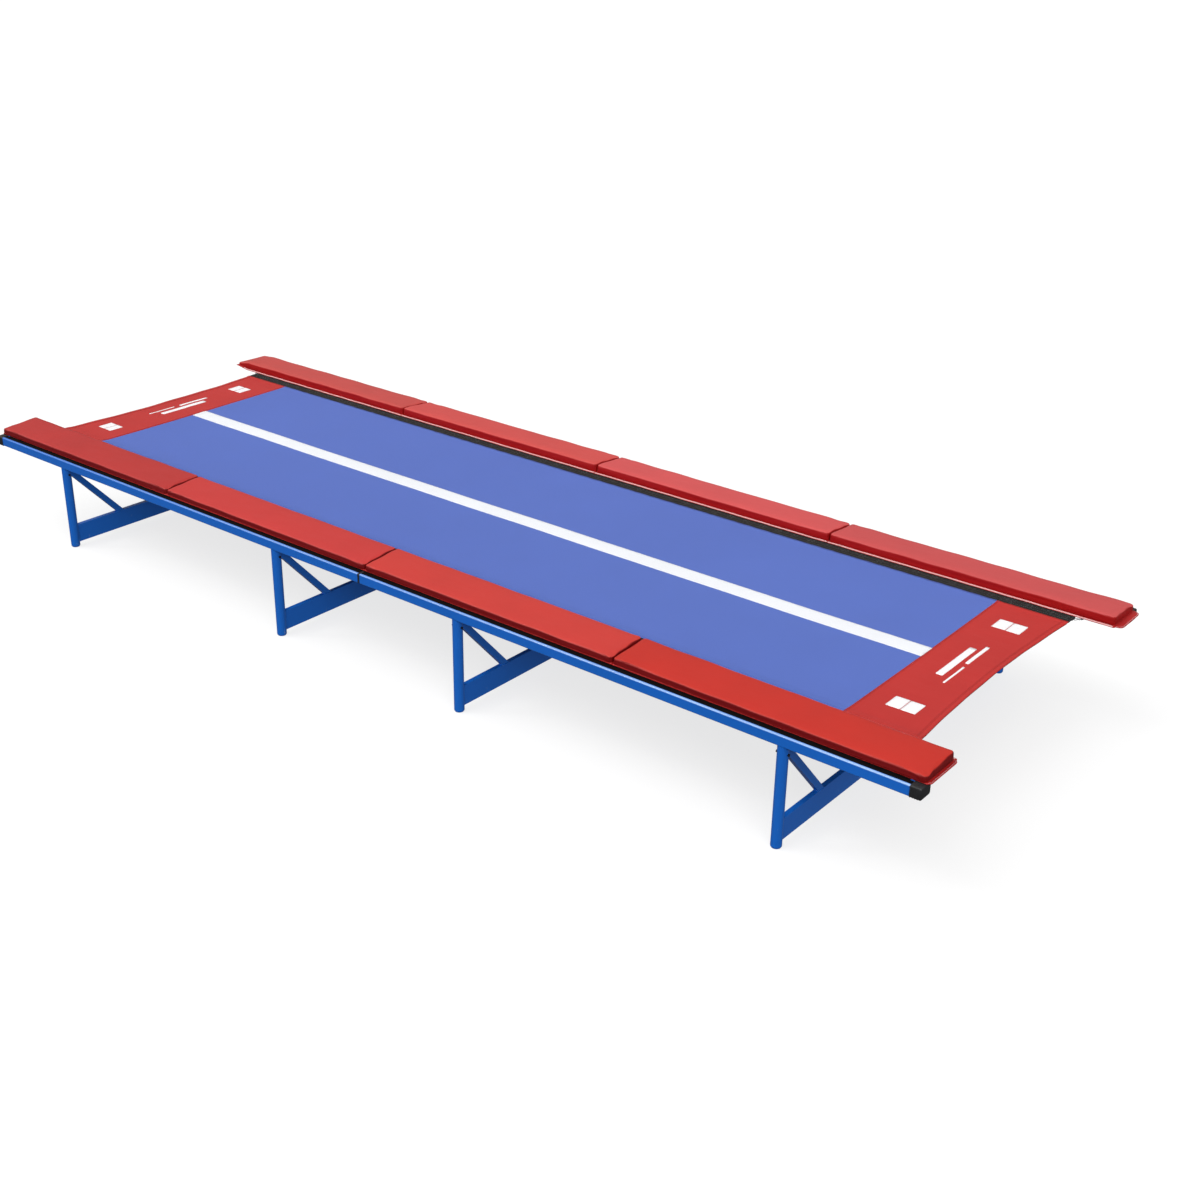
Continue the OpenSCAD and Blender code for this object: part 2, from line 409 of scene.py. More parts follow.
@dataclass(frozen=True)
class CoatedVinyl(Finish):
    """Vinyl-coated fabric: fine leather grain over a faint scrim, slow shading, and soft scuffs."""

    grain: float = 620.0
    scrim: float = 900.0
    painted_side_shade: Colour | None = None

    def build(self) -> bpy.types.Material:
        """Grain is a cell pattern; the scrim is two sets of fine waves across each other.

        Upright faces may take a deeper colour, a painted shade of faces turned from the light
        above.
        """
        r = Recipe(self.name)
        x, y, _ = r.axes()
        grain = r.cells(self.grain)
        warp, weft = [r.maths("SINE", way * (self.scrim * TAU)) for way in (x, y)]
        threads = warp * weft
        broad = r.noise(3.4, 3.0)
        crease = r.noise(14.0, 4.0, 0.55, r.stretched((0.55, 1.6, 1.0)))
        scuff = r.clamped((r.noise(70.0, 5.0, 0.72) - 0.64) * 9.0)
        scuff = scuff * r.clamped((broad - 0.42) * 4.0)
        tone = r.mixed(broad, self.shade(0.90), self.shade(1.07))
        # Painted shade: upright faces take the darker side colour.
        if self.painted_side_shade:
            level = abs(r.axes(r.facing)[2])
            tone = r.mixed(r.clamped((0.86 - level) * 2.6), tone, self.painted_side_shade)
        height = grain * 0.55 + threads * 0.06 + crease * 2.4
        return r.dress(
            Base_Color=r.mixed(scuff * 0.16, tone, self.shade(1.7)),
            Roughness=0.40 + 0.14 * crease + 0.10 * scuff,
            Specular_IOR_Level=0.25,
            Normal=r.relief(height, 0.0004, 0.5),
        )


@dataclass(frozen=True)
class PlainWeave(Finish):
    """Fabric woven from flat tapes: one set lies over the other in alternate squares."""

    pitch: float = 0.0026
    # contrast: how much darker the grooves between tapes are, as painted shade
    contrast: float = 0.30
    rough: float = 0.62
    depth: float = 0.00045

    def build(self) -> bpy.types.Material:
        """A tape's crown is the size of a sine across it, and squares of the two sets alternate."""
        r = Recipe(self.name)
        x, y, _ = r.axes()
        u, v = x / self.pitch, y / self.pitch
        turn = (r.maths("FLOOR", u) + r.maths("FLOOR", v)) % 2.0
        crown = turn * r.ripple(u) + (1.0 - turn) * r.ripple(v)
        fibre = r.noise(1.0, 2.0, 0.6, r.stretched((2600.0, 260.0, 400.0)))
        broad = r.noise(1.3, 3.0)
        soil = r.noise(7.0, 5.0, 0.6)
        body = r.mixed(broad * 0.6 + soil * 0.4, self.shade(0.91), self.shade(1.09))
        # Each tape darkens from its crown to its edges: painted shade in the grooves; one set is a
        # little lighter.
        dark = 1.0 - self.contrast
        light = r.clamped(crown * self.contrast + dark + turn * 0.05)
        return r.dress(
            Base_Color=r.mixed(light, (0.0, 0.0, 0.0), body),
            Roughness=self.rough + 0.12 * soil,
            Specular_IOR_Level=0.35,
            Normal=r.relief(crown + 0.25 * fibre, self.depth, 0.55),
        )


@dataclass(frozen=True)
class RibbedWebbing(Finish):
    """Heavy webbing: ribs along X, crossed by a fine herringbone, with paler worn crowns."""

    rib: float = 0.0045
    worn: Colour = (0.110, 0.112, 0.105)
    pick: float = 0.0032

    def build(self) -> bpy.types.Material:
        """A rib is a sine's size across Y; the herringbone is a wave along X that ribs shift."""
        r = Recipe(self.name)
        x, y, _ = r.axes()
        lane = y / self.rib
        rib = r.ripple(lane)
        lean = abs((lane % 2.0) - 1.0)
        pick = r.ripple(x / self.pick + lean)
        fluff = r.noise(240.0, 4.0, 0.7)
        specks = r.clamped((r.noise(70.0, 4.0, 0.85) - 0.56) * 7.0)
        wear = r.clamped((fluff * 0.6 + pick * rib * 0.5 - 0.46) * 1.2 + specks * 0.6)
        return r.dress(
            Base_Color=r.mixed(wear, self.colour, self.worn),
            Roughness=0.72 + 0.15 * fluff,
            Specular_IOR_Level=0.1,
            Normal=r.relief(rib * 0.8 + pick * 0.5 + fluff * 0.2, 0.0006, 0.7),
        )


@dataclass(frozen=True)
class TwistedThread(Finish):
    """Sewing thread: a diagonal twist of fine strands."""

    def build(self) -> bpy.types.Material:
        """The twist is a wave across the sum of the three axes."""
        r = Recipe(self.name)
        x, y, z = r.axes()
        twist = abs(r.maths("SINE", (x + y + z) * 4200.0))
        fluff = r.noise(300.0, 2.0)
        return r.dress(
            # The colour darkens between strands as the twist turns: painted shade in its grooves.
            Base_Color=r.mixed(twist * 0.6 + fluff * 0.4, self.shade(0.72), self.shade(1.12)),
            Roughness=0.6 + 0.15 * fluff,
            Normal=r.relief(twist, 0.0002, 0.6),
        )


@dataclass(frozen=True)
class HookTape(Finish):
    """Nylon hook tape: rows of tiny hooks that catch the light as specks."""

    def build(self) -> bpy.types.Material:
        """Hooks are a cell pattern of one and a half millimetres."""
        r = Recipe(self.name)
        hooks = r.cells(680.0)
        lint = r.noise(55.0, 5.0, 0.7)
        return r.dress(
            Base_Color=r.mixed(r.clamped((lint - 0.55) * 3.0), self.colour, self.shade(3.5)),
            Roughness=0.7 + 0.2 * hooks,
            Specular_IOR_Level=0.06,
            Normal=r.relief(hooks, 0.0009, 0.8),
        )


@dataclass(frozen=True)
class PrintedInk(Finish):
    """White screen-printed ink on vinyl: slightly raised, with pinholes and a little rubbing."""

    below: Colour = (0.55, 0.08, 0.08)

    def build(self) -> bpy.types.Material:
        """Rubbed spots let the vinyl below show through."""
        r = Recipe(self.name)
        grain = r.cells(620.0)
        rub = r.clamped((r.noise(85.0, 6.0, 0.75) - 0.60) * 6.0)
        return r.dress(
            Base_Color=r.mixed(rub * 0.35, self.colour, self.below),
            Roughness=0.45 + 0.1 * rub,
            Normal=r.relief(grain, 0.0002, 0.5),
        )


PAINT = PowderCoat("track_blue_powder_coat", "frame_paint", linear(22, 102, 200))
CAP_BLACK = MouldedPlastic("end_cap_plastic", "cap_plastic", linear(26, 27, 29))
SLEEVE_STEEL = DrawnSteel(
    "sleeve_plain_steel", "sleeve_steel", linear(168, 168, 170), 0.42, (12.0, 700.0, 700.0)
)
ZINC = DrawnSteel("zinc_plated_steel", "zinc_steel", linear(206, 208, 210), 0.30)
BLACK_BOLT = DrawnSteel("blackened_bolt_steel", "zinc_steel", linear(52, 54, 60), 0.38)
# Each pad's own tone; the far row is lighter, a painted sheen of tops seen at a grazing angle.
PAD_TONES_AND_SHEEN = {
    Side.NEAR: [(174, 46, 43), (188, 52, 49), (191, 54, 47), (185, 42, 31)],
    Side.FAR: [(189, 71, 66), (199, 73, 69), (202, 78, 78), (192, 74, 74)],
}
# Darker colours on the pads' upright sides: painted shade, deepest on the near row.
PAD_PAINTED_SIDE_SHADES = {Side.NEAR: linear(112, 4, 6), Side.FAR: linear(158, 10, 12)}
PAD_BASE = CoatedVinyl("pad_base_vinyl", "pad_vinyl", linear(170, 28, 28), 520.0)
BAND_VINYL = CoatedVinyl("end_band_vinyl", "band_vinyl", linear(181, 44, 40), 700.0)
BED_BLUE = PlainWeave("bed_blue_weave", "bed_weave", linear(86, 110, 189))
LINE_WHITE = PlainWeave(
    "centre_line_weave", "line_white", linear(230, 232, 236), 0.0022, 0.12, 0.66, 0.0003
)
WEBBING = RibbedWebbing("border_webbing", "webbing", linear(24, 24, 24))
HOOKS = HookTape("pad_hook_tape", "hook_tape", linear(12, 11, 12))
INK = PrintedInk("band_white_ink", "line_white", linear(238, 236, 238))
# The lip's binding: its pale colour is a painted highlight where light catches the lip.
BINDING_HIGHLIGHT = RibbedWebbing(
    "pad_edge_highlight_binding", "pad_vinyl", linear(224, 158, 156), 0.0025, (0.84, 0.66, 0.65)
)
RED_THREAD = TwistedThread("red_thread", "pad_vinyl", linear(150, 28, 28))
BLUE_THREAD = TwistedThread("blue_thread", "bed_weave", linear(58, 74, 150))
WHITE_THREAD = TwistedThread("white_thread", "line_white", linear(225, 226, 230))
GREY_THREAD = TwistedThread("grey_thread", "webbing", linear(92, 92, 96))


# --------------------------------------------------------------------------------------- mesh work


def spread(rows: Array, cols: Array) -> list[Array]:
    """Two lines of numbers as the two coordinates of a grid's points."""
    return list(np.meshgrid(rows, cols, indexing="ij"))


def joined(x: "Array | float", y: "Array | float", z: "Array | float") -> Array:
    """Points from their three coordinates, each an array or one number for all."""
    return np.stack(np.broadcast_arrays(x, y, z), -1)


def run_of(path: Array) -> Array:
    """How far along a path each of its points lies."""
    return np.concatenate([[0], np.cumsum(np.linalg.norm(np.diff(path, axis=0), axis=1))])


def points_at(path: Array, at: Array) -> Array:
    """A path's points at given distances along it, by straight interpolation."""
    run = run_of(path)
    return np.stack([np.interp(at, run, column) for column in path.T], -1)


def evened(ring: Array, count: int) -> Array:
    """A closed ring's points, spaced evenly along it."""
    loop = np.concatenate([ring, ring[:1]])
    return points_at(loop, np.linspace(0, run_of(loop)[-1], count, endpoint=False))


def grid_quads(rows: int, cols: int, ring_rows: bool = False, ring_cols: bool = False) -> Array:
    """Quads between a grid's points, facing along (row direction) x (column direction).

    Args:
        rows, cols: the grid's size.
        ring_rows, ring_cols: whether the last row or column joins the first.

    Returns:
        One row of four point numbers for each quad.
    """
    r, c = spread(np.arange(rows - (not ring_rows)), np.arange(cols - (not ring_cols)))
    r2, c2 = (r + 1) % rows, (c + 1) % cols
    return np.stack([r * cols + c, r2 * cols + c, r2 * cols + c2, r * cols + c2], -1).reshape(-1, 4)


def unit(vectors: Array) -> Array:
    """Each vector divided by its own length."""
    return vectors / np.maximum(np.linalg.norm(vectors, axis=-1, keepdims=True), 1e-12)


def smoothstep(t: Array) -> Array:
    """3t² - 2t³ of t kept between 0 and 1: a step with level ends."""
    t = np.clip(t, 0, 1)
    return t * t * (3 - 2 * t)


class Stock:
    """Points and faces gathered for one piece, then made into a mesh object at the origin."""

    def __init__(self) -> None:
        """Starts empty."""
        self.points: list[Array] = []
        self.faces: list[tuple[Array, int]] = []
        self.count = 0

    def add(self, points: Array, faces: Array, finish: int = 0, turn: bool = False) -> None:
        """Adds a surface.

        Args:
            points: any shape ending in 3.
            faces: rows of point numbers, counted from this surface's first point.
            finish: which of the piece's finishes it takes.
            turn: whether to reverse the faces, as after a mirror.
        """
        points = np.asarray(points, float).reshape(-1, 3)
        self.points.append(points)
        self.faces.append(((faces[:, ::-1] if turn else faces) + self.count, finish))
        self.count += len(points)

    def slab(self, top: Array, depth: "float | Array", finish: int = 0) -> None:
        """Adds a closed thin body under a grid of points, its rows along X and its columns along Y.

        Args:
            top: the upper surface, rows by columns by 3.
            depth: its thickness, one number or one for each point.
            finish: which of the piece's finishes it takes.
        """
        rows, cols = top.shape[:2]
        under = top.copy()
        under[..., 2] -= depth
        quads = grid_quads(rows, cols)
        n = rows * cols
        number = np.arange(n).reshape(rows, cols)
        rim = [number[:-1, 0], number[-1, :-1], number[:0:-1, -1], number[0, :0:-1]]
        rim = np.concatenate(rim)
        after = np.roll(rim, -1)
        sides = np.stack([rim + n, after + n, after, rim], -1)
        turn = np.linalg.det([top[-1, 0] - top[0, 0], top[0, -1] - top[0, 0], UP]) < 0
        self.add(np.concatenate([top.reshape(-1, 3), under.reshape(-1, 3)]),
                 np.concatenate([quads, quads[:, ::-1] + n, sides]), finish, turn)

    def sweep(self, path: Array, up: Array, profile: Array, finish: int = 0, ring: bool = False,
              swell: "Array | float" = 1.0) -> None:
        """Adds one or many bodies, each a closed outline carried along a path.

        A point is path + swell * (outline's first number * side + second number * up), where
        side is the path's direction crossed with up, and up is made square to the path.

        Args:
            path: copies by stations by 3, or stations by 3.
            up: the outline's second axis, any shape that fits the path's.
            profile: the outline, points by 2, anticlockwise seen from (side, up).
            finish: which of the piece's finishes it takes.
            ring: whether the path closes on itself; an open one gets flat ends.
            swell: a factor for the outline at each station.
        """
        path = path if path.ndim == 3 else path[None]
        copies, stations = path.shape[:2]
        if ring:
            along = np.roll(path, -1, 1) - np.roll(path, 1, 1)
        else:
            along = np.gradient(path, axis=1)
        along = unit(along)
        side = unit(np.cross(along, np.broadcast_to(up, path.shape)))
        square = np.cross(side, along)
        swell = np.broadcast_to(swell, (copies, stations))[..., None, None]
        wide, tall = profile[None, None, :, 0, None], profile[None, None, :, 1, None]
        section = wide * side[:, :, None] + tall * square[:, :, None]
        ring_points = path[:, :, None] + swell * section
        m = len(profile)
        quads = grid_quads(stations, m, ring, True)
        start = np.arange(copies)[:, None, None] * stations * m
        self.add(ring_points, (quads[None] + start).reshape(-1, 4), finish)
        if not ring:
            base = self.count - copies * stations * m
            first = np.arange(copies)[:, None] * stations * m + np.arange(m)[None]
            last = first[:, ::-1] + (stations - 1) * m
            self.faces += [(first + base, finish), (last + base, finish)]

    def piece(self, name: str, finishes: list[Finish]) -> bpy.types.Object:
        """Makes the gathered surfaces a mesh object, shaded smooth.

        Args:
            name: the piece's name.
            finishes: its finishes, in the order that the surfaces name them.

        Returns:
            The object, linked to the scene, with the first finish's slot.
        """
        mesh = bpy.data.meshes.new(name)
        points = np.concatenate(self.points).astype(np.float32)
        sizes = np.concatenate([np.full(len(f), f.shape[1]) for f, _ in self.faces])
        corners = np.concatenate([f.ravel() for f, _ in self.faces])
        mesh.vertices.add(len(points))
        mesh.vertices.foreach_set("co", points.ravel())
        mesh.loops.add(len(corners))
        mesh.loops.foreach_set("vertex_index", corners.astype(np.int32))
        mesh.polygons.add(len(sizes))
        mesh.polygons.foreach_set("loop_start", (np.cumsum(sizes) - sizes).astype(np.int32))
        finish_of = np.concatenate([np.full(len(f), number) for f, number in self.faces])
        mesh.polygons.foreach_set("material_index", finish_of.astype(np.int32))
        mesh.update(calc_edges=True)
        mesh.polygons.foreach_set("use_smooth", np.full(len(sizes), True))
        for finish in finishes:
            mesh.materials.append(finish.make())
        mesh.validate()
        made = bpy.data.objects.new(name, mesh)
        bpy.context.scene.collection.objects.link(made)
        LOG.info("%s: %d points, %d faces", name, len(points), len(sizes))
        return made


def circle(radius: float, sides: int) -> Array:
    """Points of a circle, anticlockwise."""
    turn = np.arange(sides) * TAU / sides
    return radius * np.stack([np.cos(turn), np.sin(turn)], -1)


def rounded_outline(width: float, height: float, radius: float, steps: int = 4) -> Array:
    """A rectangle with round corners, anticlockwise: quarter circles about four inner corners.

    Args:
        width, height: the outside size.
        radius: the corners' radius.
        steps: how many steps each quarter takes.

    Returns:
        Points by 2.
    """
    quarter = np.linspace(0, math.pi / 2, steps + 1)
    turn = (np.arange(4)[:, None] * math.pi / 2 + quarter[None]).ravel()
    middle = np.repeat(np.array([[1, 1], [-1, 1], [-1, -1], [1, -1]]), steps + 1, axis=0)
    inner = middle * np.array([width / 2 - radius, height / 2 - radius])
    return inner + radius * np.stack([np.cos(turn), np.sin(turn)], -1)


def rounded_block(size: Array, cells: tuple[int, int, int], radius: float) -> tuple[Array, Array]:
    """A closed box with round edges about the origin.

    A point of the plain box's surface grid is moved to the given radius from its nearest point in
    the box that is smaller by that radius all round.

    Args:
        size: the outside size along X, Y and Z.
        cells: how many cells each axis has between the round edges.
        radius: the edges' radius.

    Returns:
        The points, and quads that face outwards.
    """
    half = np.asarray(size) / 2
    edge = radius * (1 - np.tan(np.linspace(math.pi / 4, 0, 4)))[:-1]
    ticks = [
        np.concatenate([-h + edge, np.linspace(-h + radius, h - radius, n + 1), h - edge[::-1]])
        for h, n in zip(half, cells)
    ]
    points, quads, count = [], [], 0
    for axis in range(3):
        u, v = (axis + 1) % 3, (axis + 2) % 3
        for sign in (-1, 1):
            a, b = spread(ticks[u], ticks[v])
            face = np.empty((*a.shape, 3))
            face[..., axis], face[..., u], face[..., v] = sign * half[axis], a, b
            quad = grid_quads(*a.shape) + count
            quads.append(quad if sign > 0 else quad[:, ::-1])
            points.append(face.reshape(-1, 3))
            count += a.size
    points = np.concatenate(points)
    _, first, back = np.unique(np.round(points, 7), axis=0, return_index=True, return_inverse=True)
    points, quads = points[first], back.reshape(-1)[np.concatenate(quads)]
    inner = np.clip(points, radius - half, half - radius)
    return inner + radius * unit(points - inner), quads


def stitch_row(stock: Stock, path: Array, finish: int, pitch: float = 0.0085,
               width: float = 0.0013) -> None:
    """Adds a row of stitches: low arches of thread that dip into the cloth at both ends.

    The line is resampled at equal steps, and a stitch's middle stands at each step.

    Args:
        stock: what the stitches are added to.
        path: the line, stations by 3, on the cloth's upper surface.
        finish: the thread's number among the piece's finishes.
        pitch: from one stitch to the next.
        width: the thread's width.
    """
    middles = np.arange(pitch / 2, run_of(path)[-1], pitch)[:, None]
    line = points_at(path, middles + np.array([-0.5, -0.25, 0.25, 0.5]) * STITCH)
    lift = np.array([-0.3, 0.35, 0.35, -0.3]) * width
    stock.sweep(line + lift[:, None] * UP, UP, circle(width / 2, 4), finish)


# --------------------------------------------------------------------------------- the steel frame


# An end cap from its open mouth to its dome: share of the length, and millimetres drawn in.
CAP_SHAPE = np.array([
    (0.0, 3.0), (0.0, 0.6), (0.02, 0.0), (0.08, 0.0),
    (0.10, 1.0), (0.22, 1.0), (0.25, 0.1), (0.29, 0.1),
    (0.32, 1.0), (0.42, 1.0), (0.45, 0.1), (0.49, 0.1),
    (0.52, 1.0), (0.62, 1.0), (0.65, 0.1), (0.69, 0.1),
    (0.72, 1.0), (0.88, 1.0), (0.94, 1.5), (0.975, 2.6),
    (1.0, 5.0), (1.008, 11.0), (1.014, 17.0), (1.018, 24.0),
])


@dataclass
class SteelFrame:
    """Rails, legs, braces and bolts keep the frame's own shapes; welds and end caps are made."""

    bead: float = 0.0034
    bead_steps: int = 44
    post_radius: float = 0.025
    bar_height: float = 0.105
    bar_bottom: float = 0.024
    bar_thick: float = 0.025
    brace_thick: float = 0.025
    brace_deep: float = 0.033
    brace_run: float = 0.273
    brace_top: float = 0.430
    joint_wide: float = 0.013
    joint_proud: float = 0.0009
    rail_width: float = 0.075
    rail_height: float = 0.050
    tape_inner: float = 0.036
    tape_outer: float = 0.0120
    tape_end: float = 0.004
    tape_lift: float = 0.0011
    tape_thick: float = 0.0010
    cap_corner: float = 0.008

    def build(self) -> None:
        """Dresses the steel, then adds welds, joint bands, dark tape strips (partly painted shade)
        and caps.
        """
        self.dress()
        self.welds()
        self.joints()
        self.tape_shade_strips()
        for side in Side:
            for end in End:
                self.cap(side, end)

    def dress(self) -> None:
        """Gives each node that stays its finish."""
        kinds = {
            "rail": PAINT, "post": PAINT, "foot": PAINT, "brace": PAINT, "crossbar": PAINT,
            "sleeve": SLEEVE_STEEL, "bolts": BLACK_BOLT, "tape": HOOKS,
        }
        for name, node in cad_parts.items():
            for kind, finish in kinds.items():
                if kind in name:
                    node.data.materials.clear()
                    node.data.materials.append(finish.make())
        LOG.info("steel frame dressed")

    def welds(self) -> None:
        """Weld beads at each brace's two ends, and where each crossbar meets its posts.

        A bead follows the joint's outline, and its radius rises and falls as the metal was laid.
        """
        stock = Stock()
        for number in range(1, LEG_COUNT + 1):
            for side in Side:
                lo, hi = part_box(f"{side.word}_post_{number}")
                x, y = (lo.x + hi.x) / 2, (lo.y + hi.y) / 2
                self.bar_weld(stock, x, y, side.value)
                self.brace_welds(stock, x, y, side.value)
        welds = stock.piece("leg_weld_beads", [PAINT])
        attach(welds, "frame")

    def bead_body(self, stock: Stock, path: Array, up: Array) -> None:
        """Adds one closed bead along a ring of points, with ripples every four millimetres."""
        wave = 1 + 0.16 * np.sin(np.arange(len(path)) * TAU / 3)
        stock.sweep(path, up, circle(self.bead, 6), ring=True, swell=wave)

    def outline_points(self, width: float, height: float) -> Array:
        """Evenly spaced points round a rectangle with slightly round corners."""
        return evened(rounded_outline(width, height, 0.002, 3), self.bead_steps)

    def post_face(self, across: Array) -> Array:
        """How far a post's round face lies from its axis along Y, at places across it."""
        return np.sqrt(np.maximum(self.post_radius**2 - across**2, 0))

    @staticmethod
    def rails(side: Side) -> tuple[tuple[Vector, Vector], tuple[Vector, Vector]]:
        """The boxes of one side's left and right rail."""
        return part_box(f"{side.word}_left_rail"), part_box(f"{side.word}_right_rail")

    def bar_weld(self, stock: Stock, x: float, y: float, sign: int) -> None:
        """The bead round a crossbar's end, bent to the post's round face."""
        ring = self.outline_points(self.bar_thick, self.bar_height)
        middle = self.bar_bottom + self.bar_height / 2
        path = joined(x + ring[:, 0], y - sign * self.post_face(ring[:, 0]), middle + ring[:, 1])
        self.bead_body(stock, path, ACROSS)

    def brace_welds(self, stock: Stock, x: float, y: float, sign: int) -> None:
        """The beads at a brace's foot on the crossbar and at its top on the post."""
        top = self.bar_bottom + self.bar_height
        slope = math.atan2(self.brace_top - top, self.brace_run)
        foot = self.brace_deep / math.sin(slope)
        edge = y - sign * (self.post_radius + self.brace_run)
        ring = self.outline_points(self.brace_thick, foot)
        path = joined(x + ring[:, 0], edge - sign * (foot / 2 - ring[:, 1]), top)
        self.bead_body(stock, path, UP)
        rise = self.brace_deep / math.cos(slope)
        ring = self.outline_points(self.brace_thick, rise)
        reach = self.post_face(ring[:, 0])
        up = ring[:, 1] + (self.post_radius - reach) * math.tan(slope)
        path = joined(x + ring[:, 0], y - sign * reach, self.brace_top + rise / 2 + up)
        self.bead_body(stock, path, ACROSS)

    def joints(self) -> None:
        """A black rubber band round each rail where its halves meet: a soft-edged ring."""
        stock = Stock()
        proud = self.joint_proud
        ring = rounded_outline(self.rail_width + proud, self.rail_height + proud, 0.0055, 5)
        section = rounded_outline(proud * 2, self.joint_wide, proud * 0.8, 2)
        for side in Side:
            left, right = self.rails(side)
            x = (left[1].x + right[0].x) / 2
            y = (left[0].y + left[1].y) / 2
            z = left[1].z - self.rail_height / 2
            stock.sweep(joined(x, y + ring[:, 0], z + ring[:, 1]), ALONG, section, ring=True)
        bands = stock.piece("rail_joint_bands", [CAP_BLACK])
        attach(bands, "frame")

    def tape_shade_strips(self) -> None:
        """A thin dark strip of hook tape on each rail's top, lifted by a slow wave: the tape's
        margin, and also painted shade where the pad shades the rail.
        """
        for side in Side:
            left, right = self.rails(side)
            outer = max(abs(left[0].y), abs(left[1].y))
            x = np.linspace(left[0].x + self.tape_end, right[1].x - self.tape_end, 300)
            y = np.linspace(outer - self.tape_inner, outer - self.tape_outer, 7)
            gx, gy = spread(x, y)
            z = left[1].z + self.tape_lift + 0.0002 * np.sin(gx * 37) * np.sin(gy * 400)
            stock = Stock()
            # Dark strip: hook tape, and painted shade from the pad's edge.
            stock.slab(joined(gx, side.value * gy, z), self.tape_thick)
            margin = stock.piece(f"{side.word}_tape_margin", [HOOKS])
            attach(margin, "frame")

    def cap(self, side: Side, end: End) -> None:
        """A moulded cap: a rounded outline whose size changes along X, with a lip, ribs and a dome.

        Args:
            side, end: which rail end it closes.
        """
        name = f"{side.word}_{end.word}_cap"
        lo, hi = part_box(name)
        share, inset = CAP_SHAPE.T
        inset = inset * 0.001
        width, height = hi.y - lo.y, hi.z - lo.z
        outline = rounded_outline(width, height, self.cap_corner)
        size = np.stack([1 - 2 * inset / width, 1 - 2 * np.minimum(inset, 0.022) / height], -1)
        along = lo.x + share * (hi.x - lo.x) if end is End.RIGHT else hi.x - share * (hi.x - lo.x)
        ring = outline[None] * size[:, None]
        points = joined(along[:, None], (lo.y + hi.y) / 2 + ring[..., 0],
                        (lo.z + hi.z) / 2 + ring[..., 1])
        stock = Stock()
        m = len(outline)
        stock.add(points, grid_quads(len(share), m, False, True), 0, end is End.RIGHT)
        number = np.arange(m)[None]
        ends = np.concatenate([number[:, ::-1], number + (len(share) - 1) * m])
        stock.faces.append(((ends[:, ::-1] if end is End.LEFT else ends), 0))
        cap = stock.piece(f"{name}_moulding", [CAP_BLACK])
        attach(cap, "frame")
        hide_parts(name)


# ---------------------------------------------------------------------------------------- the pads


@dataclass(frozen=True)
class PadPlace:
    """One pad's place: its side, its number from the left, its foam's middle and its length.

    The middle is at the base sheet's top, and the length is without the tongue.
    """

    side: Side
    number: int
    middle: Array
    length: float

    @property
    def node(self) -> str:
        """The pad's name in the frame."""
        return f"{self.side.word}_pad_{self.number}"

    @property
    def thin_ended(self) -> bool:
        """Whether its left end is thin, as on the far side's first pad."""
        return self.side is Side.FAR and self.number == 1


